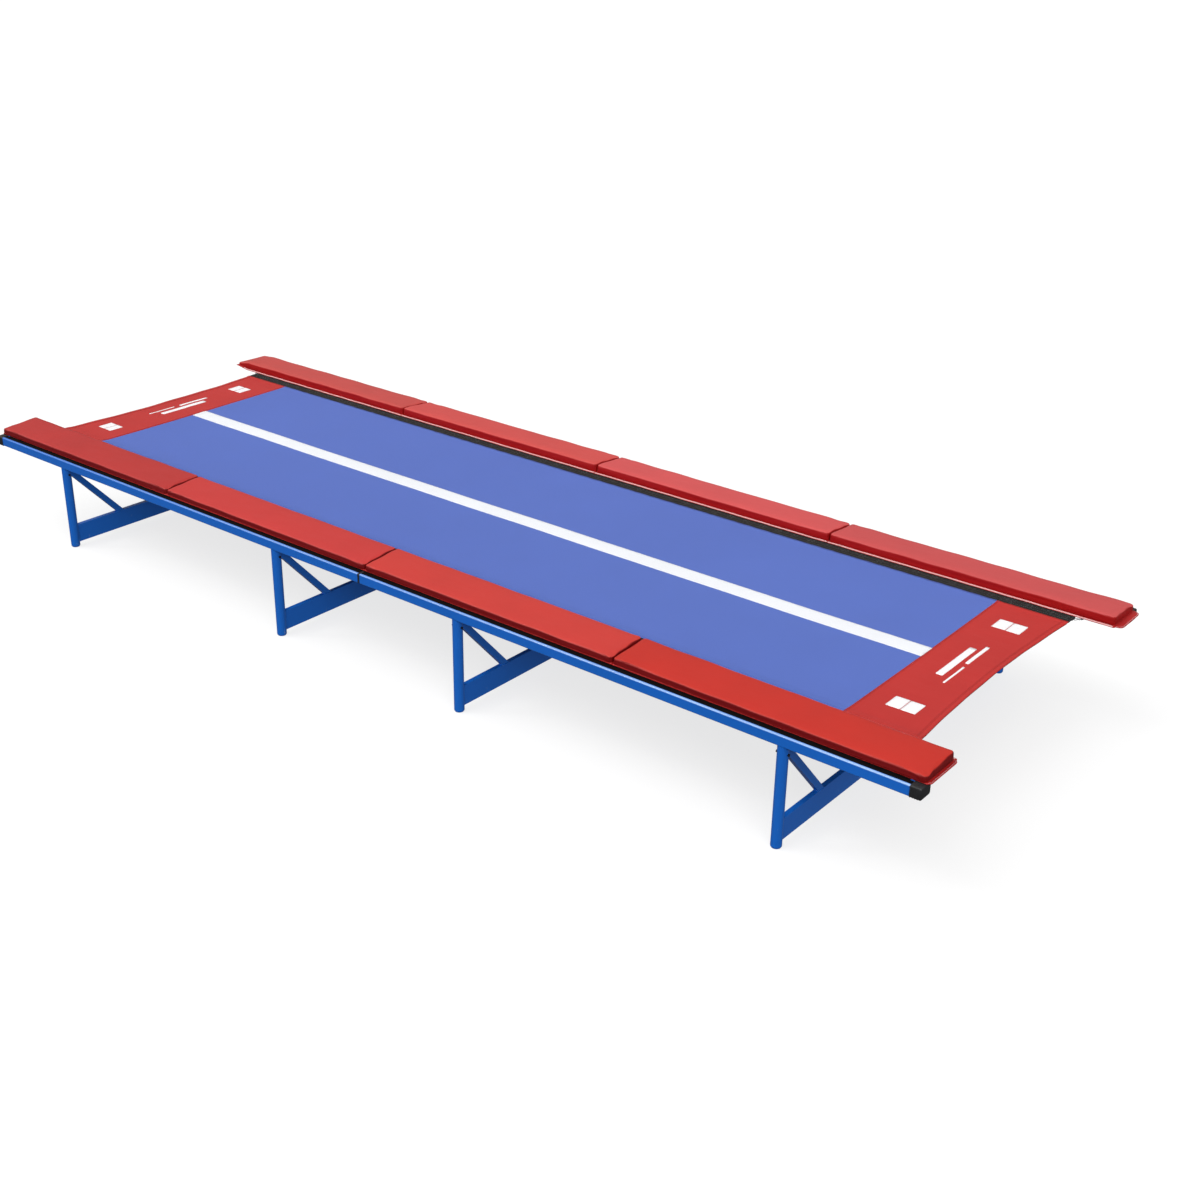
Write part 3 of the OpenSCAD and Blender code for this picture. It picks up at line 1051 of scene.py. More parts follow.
@dataclass
class FramePads:
    """Eight foam pads, each a stuffed vinyl cover on a base sheet whose edge shows as a lip."""

    width: float = 0.236
    lip: float = 0.012
    foam: float = 0.0335
    base: float = 0.0028
    edge: float = 0.0070
    cells: tuple[int, int, int] = (150, 24, 3)
    tongue: float = 0.036
    tongue_corner: float = 0.030
    tongue_inset: float = 0.014
    near_tongue: float = 0.014
    tongue_drop: float = 0.0012
    crown: float = 0.0024
    rise: float = 0.0110
    fall: float = 0.0020
    binding: float = 0.0085
    piping: float = 0.0048
    hem: float = 0.0024
    swell_cap: float = 0.0025
    pressure: float = 0.55
    fill: float = 0.85
    least_off: Triple = (-0.0012, -0.0022, 0.0)
    most_off: Triple = (0.0006, 0.0022, 0.0022)
    plan_corner: float = 0.019
    foot_inset: float = 0.004
    frames: int = 20
    sewn_below: float = 0.004
    welt: float = 0.0021
    thin_run: float = 0.085
    thin_lift: float = 0.0150
    thin_fall: float = 0.0080
    thin_reach: float = 0.024
    thin_bare: float = 0.050

    def build(self) -> None:
        """Two covers are stuffed, and each pad takes one of them, turned end for end in places."""
        shapes = [self.cover_shape(SEED + i) for i in range(2)]
        for side in Side:
            for number in range(1, PAD_COUNT + 1):
                flip = (number + (side is Side.FAR)) % 2 == 0
                self.pad(side, number, shapes[(number // 2) % 2], flip)

    def tail(self, place: PadPlace) -> float:
        """How far the base sheet runs on past the foam at the pad's right end."""
        if place.number < PAD_COUNT:
            return 0.0
        return self.tongue if place.side is Side.FAR else self.near_tongue

    def raised(self, place: PadPlace, x: Array) -> Array:
        """How far a pad's underside lifts, 0 to 1: a smooth step over a thin left end."""
        return smoothstep((self.thin_run - place.length / 2 - x) / self.thin_run) * place.thin_ended

    def pad_length(self) -> float:
        """The length of one pad without its tongue."""
        lo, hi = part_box("near_pad_1")
        return hi.x - lo.x

    def cover_shape(self, seed: int) -> tuple[Array, Array]:
        """A cover about the origin, its underside at 0.

        The rounded block's top is raised by a crown, 1 - |y / half width|^2.6 across. It also rises
        towards the bed's side and falls at the rail's side. Its ends draw in a little between
        their corners, and slow waves make its stuffing uneven. Seen from above its corners are
        quarter circles. A cloth simulation with the cover's underside held then fills it, with no
        point moving further than the cap.

        Args:
            seed: what the unevenness is drawn from.

        Returns:
            The points and quads.
        """
        length = self.pad_length() - 0.001
        size = np.array([length, self.width - 0.002, self.foam - self.crown])
        points, quads = rounded_block(size, self.cells, self.edge)
        into = np.maximum(np.abs(points[:, :2]) - (size[:2] / 2 - self.plan_corner), 0)
        squeeze = into.max(1) / np.maximum(np.hypot(into[:, 0], into[:, 1]), 1e-9)
        squeeze = np.where(into.min(1) > 0, squeeze, 1)
        points[:, :2] -= np.sign(points[:, :2]) * into * (1 - squeeze)[:, None]
        points[:, 2] += size[2] / 2
        u, v = 2 * points[:, 0] / size[0], 2 * points[:, 1] / size[1]
        level = points[:, 2] / size[2]
        points[:, 2] += level * self.crown * (1 - np.abs(v) ** 2.6) * (1 - 0.5 * np.abs(u) ** 12)
        tilt = self.rise * smoothstep((v + 1) / 2) - self.fall * smoothstep((-0.45 - v) / 0.55)
        points[:, 2] += level * tilt
        rng = np.random.default_rng(seed)
        lumps = np.zeros(len(points))
        for _ in range(14):
            wave = rng.uniform([2, 4], [26, 30])
            turn = rng.uniform(0, TAU, 2)
            lumps += rng.normal() * np.sin(points[:, :2] * wave + turn).prod(1)
        points[:, 2] += level * 0.00033 * lumps
        points[:, 0] -= np.sign(u) * 0.0016 * (1 - v**2) * np.abs(u) ** 30
        bow = np.sin(points[:, 0] * rng.uniform(3, 5) + rng.uniform(0, TAU))
        points[:, 1] += 0.0009 * bow * level
        points = self.stuffed(points, quads)
        points[:, 2] = np.maximum(points[:, 2], 0)
        return points, quads

    def stuffed(self, points: Array, quads: Array) -> Array:
        """Fills a cover by cloth simulation.

        Args:
            points, quads: the cover; its lowest points are sewn down and don't move.

        Returns:
            The points after the simulation, none moved further than the cap.
        """
        stock = Stock()
        stock.add(points, quads)
        cover = stock.piece("cover_being_stuffed", [PAD_BASE])
        held = cover.vertex_groups.new(name="sewn")
        held.add(np.flatnonzero(points[:, 2] < self.sewn_below).tolist(), 1.0, "REPLACE")
        cloth = cover.modifiers.new("stuffing", "CLOTH")
        made = cloth.settings
        made.quality = 5
        made.mass = 0.25
        made.tension_stiffness = made.compression_stiffness = 12
        made.shear_stiffness = 5
        made.bending_stiffness = 0.4
        made.use_pressure = True
        made.uniform_pressure_force = self.pressure
        made.vertex_group_mass = "sewn"
        made.effector_weights.gravity = 0
        cloth.collision_settings.use_collision = False
        cloth.point_cache.frame_start, cloth.point_cache.frame_end = 1, self.frames
        scene = bpy.context.scene
        for number in range(1, self.frames + 1):
            scene.frame_set(number)
        filled = cover.evaluated_get(bpy.context.evaluated_depsgraph_get()).data
        moved = np.empty(len(points) * 3, np.float32)
        filled.vertices.foreach_get("co", moved)
        shift = moved.reshape(-1, 3) - points
        far = np.linalg.norm(shift, axis=1, keepdims=True)
        LOG.info("stuffing moved the cover by %.1f mm at most", 1000 * float(far.max()))
        scene.frame_set(1)
        mesh = cover.data
        bpy.data.objects.remove(cover)
        bpy.data.meshes.remove(mesh)
        return points + shift * np.minimum(1, self.swell_cap / np.maximum(far, 1e-9))

    def pad(self, side: Side, number: int, shape: tuple[Array, Array], flip: bool) -> None:
        """Places one pad: its stuffed cover, its base sheet, and what sews them together.

        Args:
            side: the long side it lies on.
            number: its number from the left.
            shape: the stuffed cover.
            flip: whether the cover is turned end for end.
        """
        lo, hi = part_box(f"{side.word}_pad_{number}")
        length = self.pad_length()
        outer = max(abs(lo.y), abs(hi.y))
        middle = [lo.x + length / 2, side.value * (outer - self.width / 2), lo.z + self.base]
        place = PadPlace(side, number, np.array(middle), length)
        points, quads = shape
        turned = points * np.array([-1 if flip else 1, -side.value, 1])
        rng = np.random.default_rng(SEED + 10 * number + side.value)
        shift, lean, lift = rng.uniform(self.least_off, self.most_off)
        turned[:, 1] += side.value * (shift - abs(lean) * 0.4) + lean * turned[:, 0] / (length / 2)
        turned[:, 2] *= 1 + lift / self.foam
        thin = self.raised(place, turned[:, 0])
        level = turned[:, 2] / self.foam
        turned[:, 2] += thin * (self.thin_lift * (1 - level) - self.thin_fall * level)
        turned[:, 0] -= self.thin_reach * thin**2
        stock = Stock()
        stock.add(turned + middle, quads, 0, flip != (side is Side.FAR))
        # The far row's lighter tone is painted sheen; the darker side colour is painted shade.
        tone = linear(*PAD_TONES_AND_SHEEN[side][number - 1])
        finish = CoatedVinyl(f"pad_vinyl_{place.node}", "pad_vinyl", tone, painted_side_shade=PAD_PAINTED_SIDE_SHADES[side])
        cover = stock.piece(f"{place.node}_cover", [finish])
        smooth = cover.modifiers.new("smooth", "SUBSURF")
        smooth.levels = smooth.render_levels = 1
        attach(cover, place.node)
        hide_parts(place.node)
        self.base_sheet(place)
        self.sewing(place)

    def base_sheet(self, place: PadPlace) -> None:
        """The vinyl sheet under one pad, with its lip along the bed and, on the last pad, a tongue.

        Across, a point runs straight between two edges; along, the edges draw in at the tongue and
        round off as quarter circles at its tip. The lip rises and falls by slow waves.

        Args:
            place: where the pad lies.
        """
        number, node = place.number, place.node
        tail = self.tail(place)
        half = place.length / 2
        beyond = half + tail * np.linspace(0.03, 1, 14 if tail else 0)
        s = np.concatenate([np.linspace(-half, half, 170), beyond])
        into = np.clip(s - half, 0, None)
        inset = self.tongue_inset * smoothstep(into / 0.008)
        corner = min(self.tongue_corner, tail)
        tip = np.clip(s - (half + tail - corner), 0, None)
        curl = corner - np.sqrt(np.maximum(corner**2 - tip**2, 0))
        inner = -self.width / 2 - self.lip + inset + curl
        outer = self.width / 2 - self.foot_inset - inset * 0.4 - curl
        t = np.concatenate([[0, 0.02, 0.04], np.linspace(0.06, 1, 13)])
        y = inner[:, None] + (outer - inner)[:, None] * t
        wave = 0.0004 * np.sin(s * 19 + number * 2.1) + 0.0003 * np.sin(s * 47 + number)
        y = y + wave[:, None] * (t < 0.05)
        z = 0.0004 * (1 + np.sin(s * 31 + number))[:, None] * np.clip(1 - t / 0.06, 0, 1)
        thin = self.raised(place, s)
        drop = self.tongue_drop * smoothstep(into / 0.03)
        z = z + (self.thin_lift * thin - drop)[:, None]
        x = (s - self.thin_reach * thin**2)[:, None]
        stock = Stock()
        stock.slab(place.middle + joined(x, place.side.value * y, z), self.base)
        sheet = stock.piece(f"{node}_base_sheet", [PAD_BASE])
        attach(sheet, node)
        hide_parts(node)

    def sewing(self, place: PadPlace) -> None:
        """The welt round a pad's foot, and the binding and stitches of its base sheet.

        Args:
            place: where the pad lies.
        """
        stock = Stock()
        deep = self.width - self.foot_inset - 0.003
        loop = rounded_outline(place.length - 0.005, deep, self.plan_corner, 6)
        shift = -place.side.value * self.foot_inset / 2
        path = evened(joined(loop[:, 0], shift + loop[:, 1], 0.0013), 520)
        thin = self.raised(place, path[:, 0])
        path += joined(-self.thin_reach * thin**2, 0.0, self.thin_lift * thin)
        swell = 1 + 0.05 * np.sin(np.arange(len(path)) * 0.9)
        stock.sweep(place.middle + path, UP, circle(self.welt, 6), ring=True, swell=swell)
        for flat, is_lip in self.edge_lines(place):
            self.bind(stock, place, flat, is_lip)
        finishes = [PAD_BASE, RED_THREAD, BINDING_HIGHLIGHT, WHITE_THREAD]
        seam = stock.piece(f"{place.node}_sewing", finishes)
        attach(seam, place.node)

    def edge_lines(self, place: PadPlace) -> list[tuple[Array, bool]]:
        """Where the binding runs: along the lip, and round the tongue by two quarter circles.

        Args:
            place: where the pad lies.

        Returns:
            Each line's points in plan about the pad's middle, and whether it is the lip's.
        """
        half, edge = place.length / 2, self.width / 2 + self.lip
        tail = self.tail(place)
        inside = self.binding / 2 + 0.0004
        first = -half + 0.001 + self.thin_bare * place.thin_ended
        last = half - 0.001 - 0.004 * bool(tail)
        lines = [(np.array([[first, -edge + inside], [last, -edge + inside]]), True)]
        if tail:
            corner = min(self.tongue_corner, tail) - inside
            turn = np.linspace(-math.pi / 2, 0, 7)
            low = -edge + self.tongue_inset + inside
            high = self.width / 2 - self.foot_inset - self.tongue_inset * 0.4 - inside
            end = half + tail - inside
            bend = np.stack([end - corner + corner * np.cos(turn),
                             low + corner + corner * np.sin(turn)], -1)
            back = np.stack([bend[::-1, 0], high - (bend[::-1, 1] - low)], -1)
            lines.append((np.concatenate([bend, back]), False))
        return lines

    def bind(self, stock: Stock, place: PadPlace, flat: Array, is_lip: bool) -> None:
        """Adds the binding over one edge and its stitches: a piping on the lip, else a hem, pale as
        a painted highlight.

        Args:
            stock: what it is added to.
            place: where the pad lies.
            flat: the line's points in plan, about the pad's middle.
            is_lip: whether it is the lip's.
        """
        local = points_at(flat, np.linspace(0, run_of(flat)[-1], 160 if is_lip else 40))
        x, y = local.T
        drop = self.tongue_drop * smoothstep((x - place.length / 2) / 0.03)
        wave = 0.0004 * (1 + np.sin(x * 31 + place.number)) * is_lip
        thin = self.raised(place, x)
        z = -0.0007 + wave - drop + self.thin_lift * thin
        line = place.middle + joined(x - self.thin_reach * thin**2, place.side.value * y, z)
        high = self.piping if is_lip else self.hem
        body = line + (high / 2 - 0.0012) * UP
        section = rounded_outline(self.binding, high, high * 0.45, 3)
        stock.sweep(body, UP, section, 2 if is_lip else 0)
        stitch_row(stock, body + (high / 2 + 0.0001) * UP, 3, pitch=0.0075, width=0.0011)


# ----------------------------------------------------------------------------------------- the bed


@dataclass(frozen=True)
class MarkLayout:
    """A band's printed marks: their place along the bed, and the patches' size and middles."""

    along: float
    patch: tuple[float, float]
    middles: tuple[float, float]


MARKS = {
    End.LEFT: MarkLayout(2.690, (0.120, 0.092), (-0.516, 0.469)),
    End.RIGHT: MarkLayout(2.676, (0.141, 0.098), (-0.498, 0.477)),
}
# The bars between the patches: offset along X, middle across, and size.
MARK_BARS = (
    (-0.026, 0.005, (0.034, 0.330)),
    (0.020, 0.115, (0.018, 0.210)),
    (0.026, -0.120, (0.010, 0.190)),
)


@dataclass
class JumpBed:
    """The woven bed, its line, end bands, borders, rings and markings, which all sink together."""

    overlap: float = 0.014
    sheet: float = 0.0026
    band: float = 0.0022
    sag: float = 0.030
    dip: float = 0.007
    near_lap: float = 0.020
    far_lap: float = 0.004
    shade_skirt: float = 0.010
    hem: float = 0.028
    line_thick: float = 0.0014
    step: float = 0.0011
    ink: float = 0.0003
    seam_rows: tuple[float, float] = (0.005, 0.012)
    band_rows: tuple[float, float] = (0.005, 0.011)
    edge_row: float = 0.006
    line_row: float = 0.005
    strap_rows: tuple[float, float, float] = (0.022, 0.046, 0.076)
    tack_rows: tuple[float, float] = (0.036, 0.016)
    tack_out: float = 0.011
    tack_half: float = 0.0045
    tack_thick: float = 0.0007
    pitch: float = 0.100
    count: int = 58
    strap: float = 0.0030
    rib: float = 0.009
    loop_width: float = 0.030
    loop_thick: float = 0.0012
    loop_radius: float = 0.0029
    bar_out: float = 0.0022
    tip_out: float = 0.0300
    ring_drop: float = 0.007
    ring_half: float = 0.0125
    ring_wire: float = 0.002
    ring_sides: int = 5
    corner_turn: float = 52.0
    corner_shift: tuple[float, float] = (0.014, -0.012)

    def __post_init__(self) -> None:
        """Reads the bed's place from the frame."""
        lo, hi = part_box("bed_sheet")
        self.mid = (lo.x + hi.x) / 2
        self.half = (hi.x - lo.x) / 2
        self.side_y = hi.y
        self.top = hi.z
        lo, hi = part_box("right_end_band")
        self.reach = hi.x - self.mid
        self.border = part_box("far_border")

    def build(self) -> None:
        """Makes every piece of the bed."""
        self.field()
        self.line()
        for end in End:
            self.end_band(end)
            self.marks(end)
        for side in Side:
            self.border_strip(side)
            self.rings(side)

    def ring_places(self) -> Array:
        """Where the rings stand along X."""
        return self.mid + (np.arange(self.count) - (self.count - 1) / 2) * self.pitch

    def edges(self) -> tuple[float, float]:
        """Where the cloth ends over the near and far borders, along Y."""
        return -self.side_y - self.near_lap, self.side_y + self.far_lap

    def ripple(self, x: Array, y: Array) -> Array:
        """How far the stretched cloth stands off its plane: short waves at its sides, slow between.

        Each ring pulls at the cloth, so the short waves have the rings' spacing and die away
        within 150 mm of the border.
        """
        near = np.minimum(np.exp(-(self.side_y - np.abs(y)) / 0.06), 1)
        pull = 0.00055 * near * np.cos((x - self.mid) * TAU / self.pitch)
        slow = 0.0007 * np.sin(x * 2.3 + 0.7) * np.sin(y * 3.1 + 0.4)
        slow = slow + 0.0005 * np.sin(x * 5.9) * np.cos(y * 4.3)
        return pull + slow * (1 - near) - 0.0008 - self.hang(x, y)

    def lap(self, y: Array) -> Array:
        """How far the cloth climbs over its border: a smooth step at the bed's side."""
        return 0.0026 * smoothstep((np.abs(y) - self.side_y + 0.024) / 0.016)

    def hang(self, x: Array, y: Array) -> Array:
        """How far the bed hangs by its weight: the dip, less as y² sideways and x⁴ endways."""
        across = np.clip(1 - (y / self.side_y) ** 2, 0, 1)
        return self.dip * across * np.clip(1 - ((x - self.mid) / self.reach) ** 4, 0, 1)

    def field(self) -> None:
        """The blue field, a flat grid that follows the ripple, with stitches along its seams."""
        x = np.linspace(self.mid - self.half, self.mid + self.half, 420)
        low, high = self.edges()
        gx, gy = spread(x, np.linspace(low, high, 97))
        lap = self.lap(gy)
        stock = Stock()
        stock.slab(joined(gx, gy, self.top + self.ripple(gx, gy) + lap), self.sheet - lap * 0.35)
        field = stock.piece("bed_blue_field", [BED_BLUE])
        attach(field, "bed")
        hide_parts("bed_sheet")
        rows = Stock()
        for side in Side:
            for inset in self.seam_rows:
                edge = (high if side is Side.FAR else low) - side.value * inset
                z = self.top + self.ripple(x, edge) + self.lap(edge) + THREAD_LIFT
                stitch_row(rows, joined(x, edge, z), 0)
        thread = rows.piece("bed_edge_stitches", [BLUE_THREAD])
        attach(thread, "bed")

    def line(self) -> None:
        """The white line: a woven tape on the field, sewn down along both edges."""
        lo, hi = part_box("center_line")
        x = np.linspace(lo.x, hi.x, 420)
        gx, gy = spread(x, np.linspace(lo.y, hi.y, 13))
        z = self.top + self.ripple(gx, gy) + 0.0010 - 0.0005 * (np.abs(gy) / hi.y) ** 6
        stock = Stock()
        stock.slab(joined(gx, gy + 0.0005 * np.sin(gx * 9), z), self.line_thick)
        for side in Side:
            edge = side.value * (hi.y - self.line_row)
            z = self.top + self.ripple(x, edge) + 0.0011
            stitch_row(stock, joined(x, edge, z), 1, pitch=0.0078)
        tape = stock.piece("bed_centre_line", [LINE_WHITE, WHITE_THREAD])
        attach(tape, "bed")
        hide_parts("center_line")

    def free_edge(self, y: Array) -> Array:
        """How far a band's free edge lies from the bed's middle: an arc, drawn in by the sag."""
        radius = (self.side_y**2 + self.sag**2) / (2 * self.sag)
        return self.reach - self.sag + radius - np.sqrt(radius**2 - y**2)

    def band_height(self, x: Array, y: Array, share: Array) -> Array:
        """A band's height above the bed's plane: flat at the seam, slack at the free edge."""
        slack = 0.0013 * share**2 * np.sin(y * 9.5 + 0.5)
        slack = slack + 0.0008 * share * np.sin(y * 23 + x * 7)
        still = np.clip(1 - (np.abs(y) / self.side_y) ** 4, 0, 1)
        return slack * still - 0.0010 - self.hang(self.mid + x, y)

    def end_band(self, end: End) -> None:
        """A red vinyl band from its seam over the bed to its curved free edge, which has a hem.

        A point's share runs from 0 at the seam to 1 at the free edge.

        Args:
            end: which end of the bed.
        """
        low, high = self.edges()
        y = np.linspace(low, high, 110)
        start = self.half - self.overlap
        gs, gy = spread(np.linspace(0, 1, 30), y)
        run = start + gs * (self.free_edge(gy) - start)
        step = self.step * (1 - smoothstep((run - self.half) / 0.01))
        z = self.top + step + self.band_height(run, gy, gs) + self.lap(gy)
        stock = Stock()
        stock.slab(joined(self.mid + end.value * run, gy, z), self.band)
        for inset in self.band_rows:
            self.band_stitches(stock, end, start + inset, y, inset / 0.35, self.step)
        for inset in (self.hem, self.hem - self.edge_row):
            run = self.free_edge(y) - inset
            share = (run - start) / (self.free_edge(y) - start)
            self.band_stitches(stock, end, run, y, share)
        for edge in (low + self.edge_row, high - self.edge_row):
            share = np.linspace(0.06, 0.98, 40)
            run = start + share * (self.free_edge(edge) - start)
            self.band_stitches(stock, end, run, edge, share)
        self.edge_hem(stock, end, y[np.abs(y) < self.side_y - 0.002])
        band = stock.piece(f"{end.word}_end_band_vinyl", [BAND_VINYL, RED_THREAD, WEBBING])
        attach(band, "bed")
        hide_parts(f"{end.word}_end_band")

    def band_stitches(self, stock: Stock, end: End, run: "Array | float", y: "Array | float",
                      share: "Array | float", step: float = 0.0) -> None:
        """Adds a row of stitches that follows a band's top.

        Args:
            stock: what it is added to.
            end: which band.
            run, y: the row's points, from the bed's middle.
            share: how far they lie from the seam to the free edge.
            step: how far the band is raised there by the cloth below it.
        """
        z = self.top + step + self.band_height(run, y, share) + THREAD_LIFT + self.lap(y)
        stitch_row(stock, joined(self.mid + end.value * run, y, z), 1)

    def edge_hem(self, stock: Stock, end: End, y: Array) -> None:
        """Adds the dark tape under a band's free edge, a flat ribbon that follows the arc.

        Args:
            stock: what it is added to.
            end: which band.
            y: the tape's places across the bed.
        """
        edge = self.free_edge(y)
        width = self.hem - 0.0006
        run = edge - self.hem + width * np.linspace(0, 1, 4)[:, None]
        share = (run - self.half) / (edge - self.half)
        z = self.top + self.band_height(run, y, share) - self.band - 0.0001 + self.lap(y)
        stock.slab(joined(self.mid + end.value * run, y, z), 0.0022, 2)

    def marks(self, end: End) -> None:
        """Plain white marks printed on a band: two split patches, and bars between them.

        A mark is a small grid laid on the band, about a third of a millimetre above it.

        Args:
            end: which band.
        """
        stock = Stock()
        layout = MARKS[end]
        long, wide = layout.patch
        for middle in layout.middles:
            for sign in (-1, 1):
                run = layout.along + sign * long / 4
                self.print_block(stock, end, run, middle, (long / 2 - 0.003, wide), 0.02)
        for offset, middle, size in MARK_BARS:
            self.print_block(stock, end, layout.along + offset, middle, size, 0.0)
        ink = stock.piece(f"{end.word}_band_white_marks", [INK])
        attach(ink, "bed")

    def print_block(self, stock: Stock, end: End, run: float, y: float,
                    size: tuple[float, float], skew: float) -> None:
        """Adds one printed rectangle with slightly soft corners.

        Args:
            stock: what it is added to.
            end: which band it lies on.
            run, y: its middle, from the bed's middle.
            size: its length along X and its width along Y.
            skew: how far it leans, as a share of its length.
        """
        u, v = spread(np.linspace(-0.5, 0.5, 9), np.linspace(-0.5, 0.5, 17))
        px = run + u * size[0] * (1 - 0.02 * np.abs(2 * v) ** 12)
        py = y + v * size[1] * (1 - 0.02 * np.abs(2 * u) ** 8) + skew * u * size[0]
        share = (px - self.half) / (self.free_edge(py) - self.half)
        z = self.top + self.band_height(px, py, share) + 0.00035
        stock.slab(joined(self.mid + end.value * px, py, z), self.ink)

    def border_strip(self, side: Side) -> None:
        """Webbing along one side of the bed, with a folded loop of strap at each ring.

        The strip's top has ribs across its width, |sin| in outline.

        Args:
            side: which long side.
        """
        lo, hi = self.border
        x = np.linspace(lo.x, hi.x, 240)
        # The strip runs on past the border by the skirt: a dark band that is painted shade in the
        # gap under the pads.
        outer = hi.y + self.shade_skirt
        gx, gy = spread(x, np.linspace(self.side_y - 0.004, outer, 33))
        rib = np.abs(np.sin((gy - self.side_y) / self.rib * math.pi)) * 0.0006
        edge = 0.0008 * np.sin((gx - self.mid) * TAU / self.pitch) * (gy > outer - 0.004)
        lift = 0.0012 * smoothstep((gy - self.side_y - 0.014) / 0.02)
        stock = Stock()
        stock.slab(joined(gx, side.value * (gy + edge), hi.z - 0.0016 + rib + lift), self.strap)
        self.ring_loops(stock, side)
        for inset in self.strap_rows:
            row = joined(x, side.value * (self.side_y + inset), hi.z + 0.0001)
            stitch_row(stock, row, 1, pitch=0.0100)
        for offset in (-self.tack_out, self.tack_out):
            for start in self.tack_rows:
                x = self.ring_places() + offset
                spot = joined(x, side.value * (hi.y - start), hi.z + THREAD_LIFT)
                tack = np.array([-self.tack_half, self.tack_half])[:, None] * ALONG
                stock.sweep(spot[:, None] + tack, UP, circle(self.tack_thick, 4), 1)
        strip = stock.piece(f"{side.word}_border_webbing", [WEBBING, GREY_THREAD])
        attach(strip, "bed")
        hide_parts(f"{side.word}_border")

    def ring_loops(self, stock: Stock, side: Side) -> None:
        """Adds a loop of strap at each ring.

        A loop starts on the strip, passes round the ring's bar by half a circle and comes back
        underneath.

        Args:
            stock: what they are added to.
            side: which long side.
        """
        lo, hi = self.border
        bend = np.linspace(math.pi / 2, -math.pi / 2, 6)
        bend_y = hi.y + self.bar_out + self.loop_radius * np.cos(bend)
        bend_z = hi.z - self.ring_drop + self.loop_radius * np.sin(bend)
        y = np.concatenate([[hi.y - 0.034, hi.y - 0.012], bend_y, [hi.y - 0.012, hi.y - 0.030]])
        z = np.concatenate([[hi.z - 0.0050, hi.z - 0.0048], bend_z, [lo.z - 0.0004, lo.z + 0.0004]])
        path = joined(0.0, side.value * y, z) + self.ring_places()[:, None, None] * ALONG
        outward = unit(joined(0.0, np.gradient(z) * -side.value, np.gradient(y)))
        strap = rounded_outline(self.loop_width, self.loop_thick, 0.0005, 1)
        stock.sweep(path, outward[None], strap, 0)

    def rings(self, side: Side) -> None:
        """A triangular wire ring in each loop: a triangle with round corners, its bar in the loop.

        Args:
            side: which long side.
        """
        hi = self.border[1]
        base, tip = hi.y + self.bar_out, hi.y + self.tip_out
        corners = np.array([[-self.ring_half, base], [self.ring_half, base], [0.0, tip]])
        path = []
        for i, radius in enumerate((0.003, 0.003, 0.0035)):
            before = unit(corners[i - 1] - corners[i])
            after = unit(corners[(i + 1) % 3] - corners[i])
            path += [corners[i] + before * radius * 1.6,
                     corners[i] + unit(before + after) * radius * 0.55,
                     corners[i] + after * radius * 1.6]
        ring = np.array(path) - [0.0, base]
        turn = np.zeros(self.count)
        turn[0], turn[-1] = math.radians(self.corner_turn), -math.radians(self.corner_turn)
        cos, sin = np.cos(turn)[:, None], np.sin(turn)[:, None]
        shift = np.zeros((self.count, 2))
        shift[0], shift[-1] = np.array(self.corner_shift) * [-1, 1], self.corner_shift
        x = ring[:, 0] * cos - ring[:, 1] * sin + (self.ring_places() + shift[:, 0])[:, None]
        y = ring[:, 0] * sin + ring[:, 1] * cos + base + shift[:, 1, None]
        stock = Stock()
        wire = circle(self.ring_wire, self.ring_sides)
        stock.sweep(joined(x, side.value * y, hi.z - self.ring_drop), UP, wire, ring=True)
        made = stock.piece(f"{side.word}_wire_rings", [ZINC])
        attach(made, "bed")
        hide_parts(f"{side.word}_v_rings")


# ------------------------------------------------------------------------------------- the springs


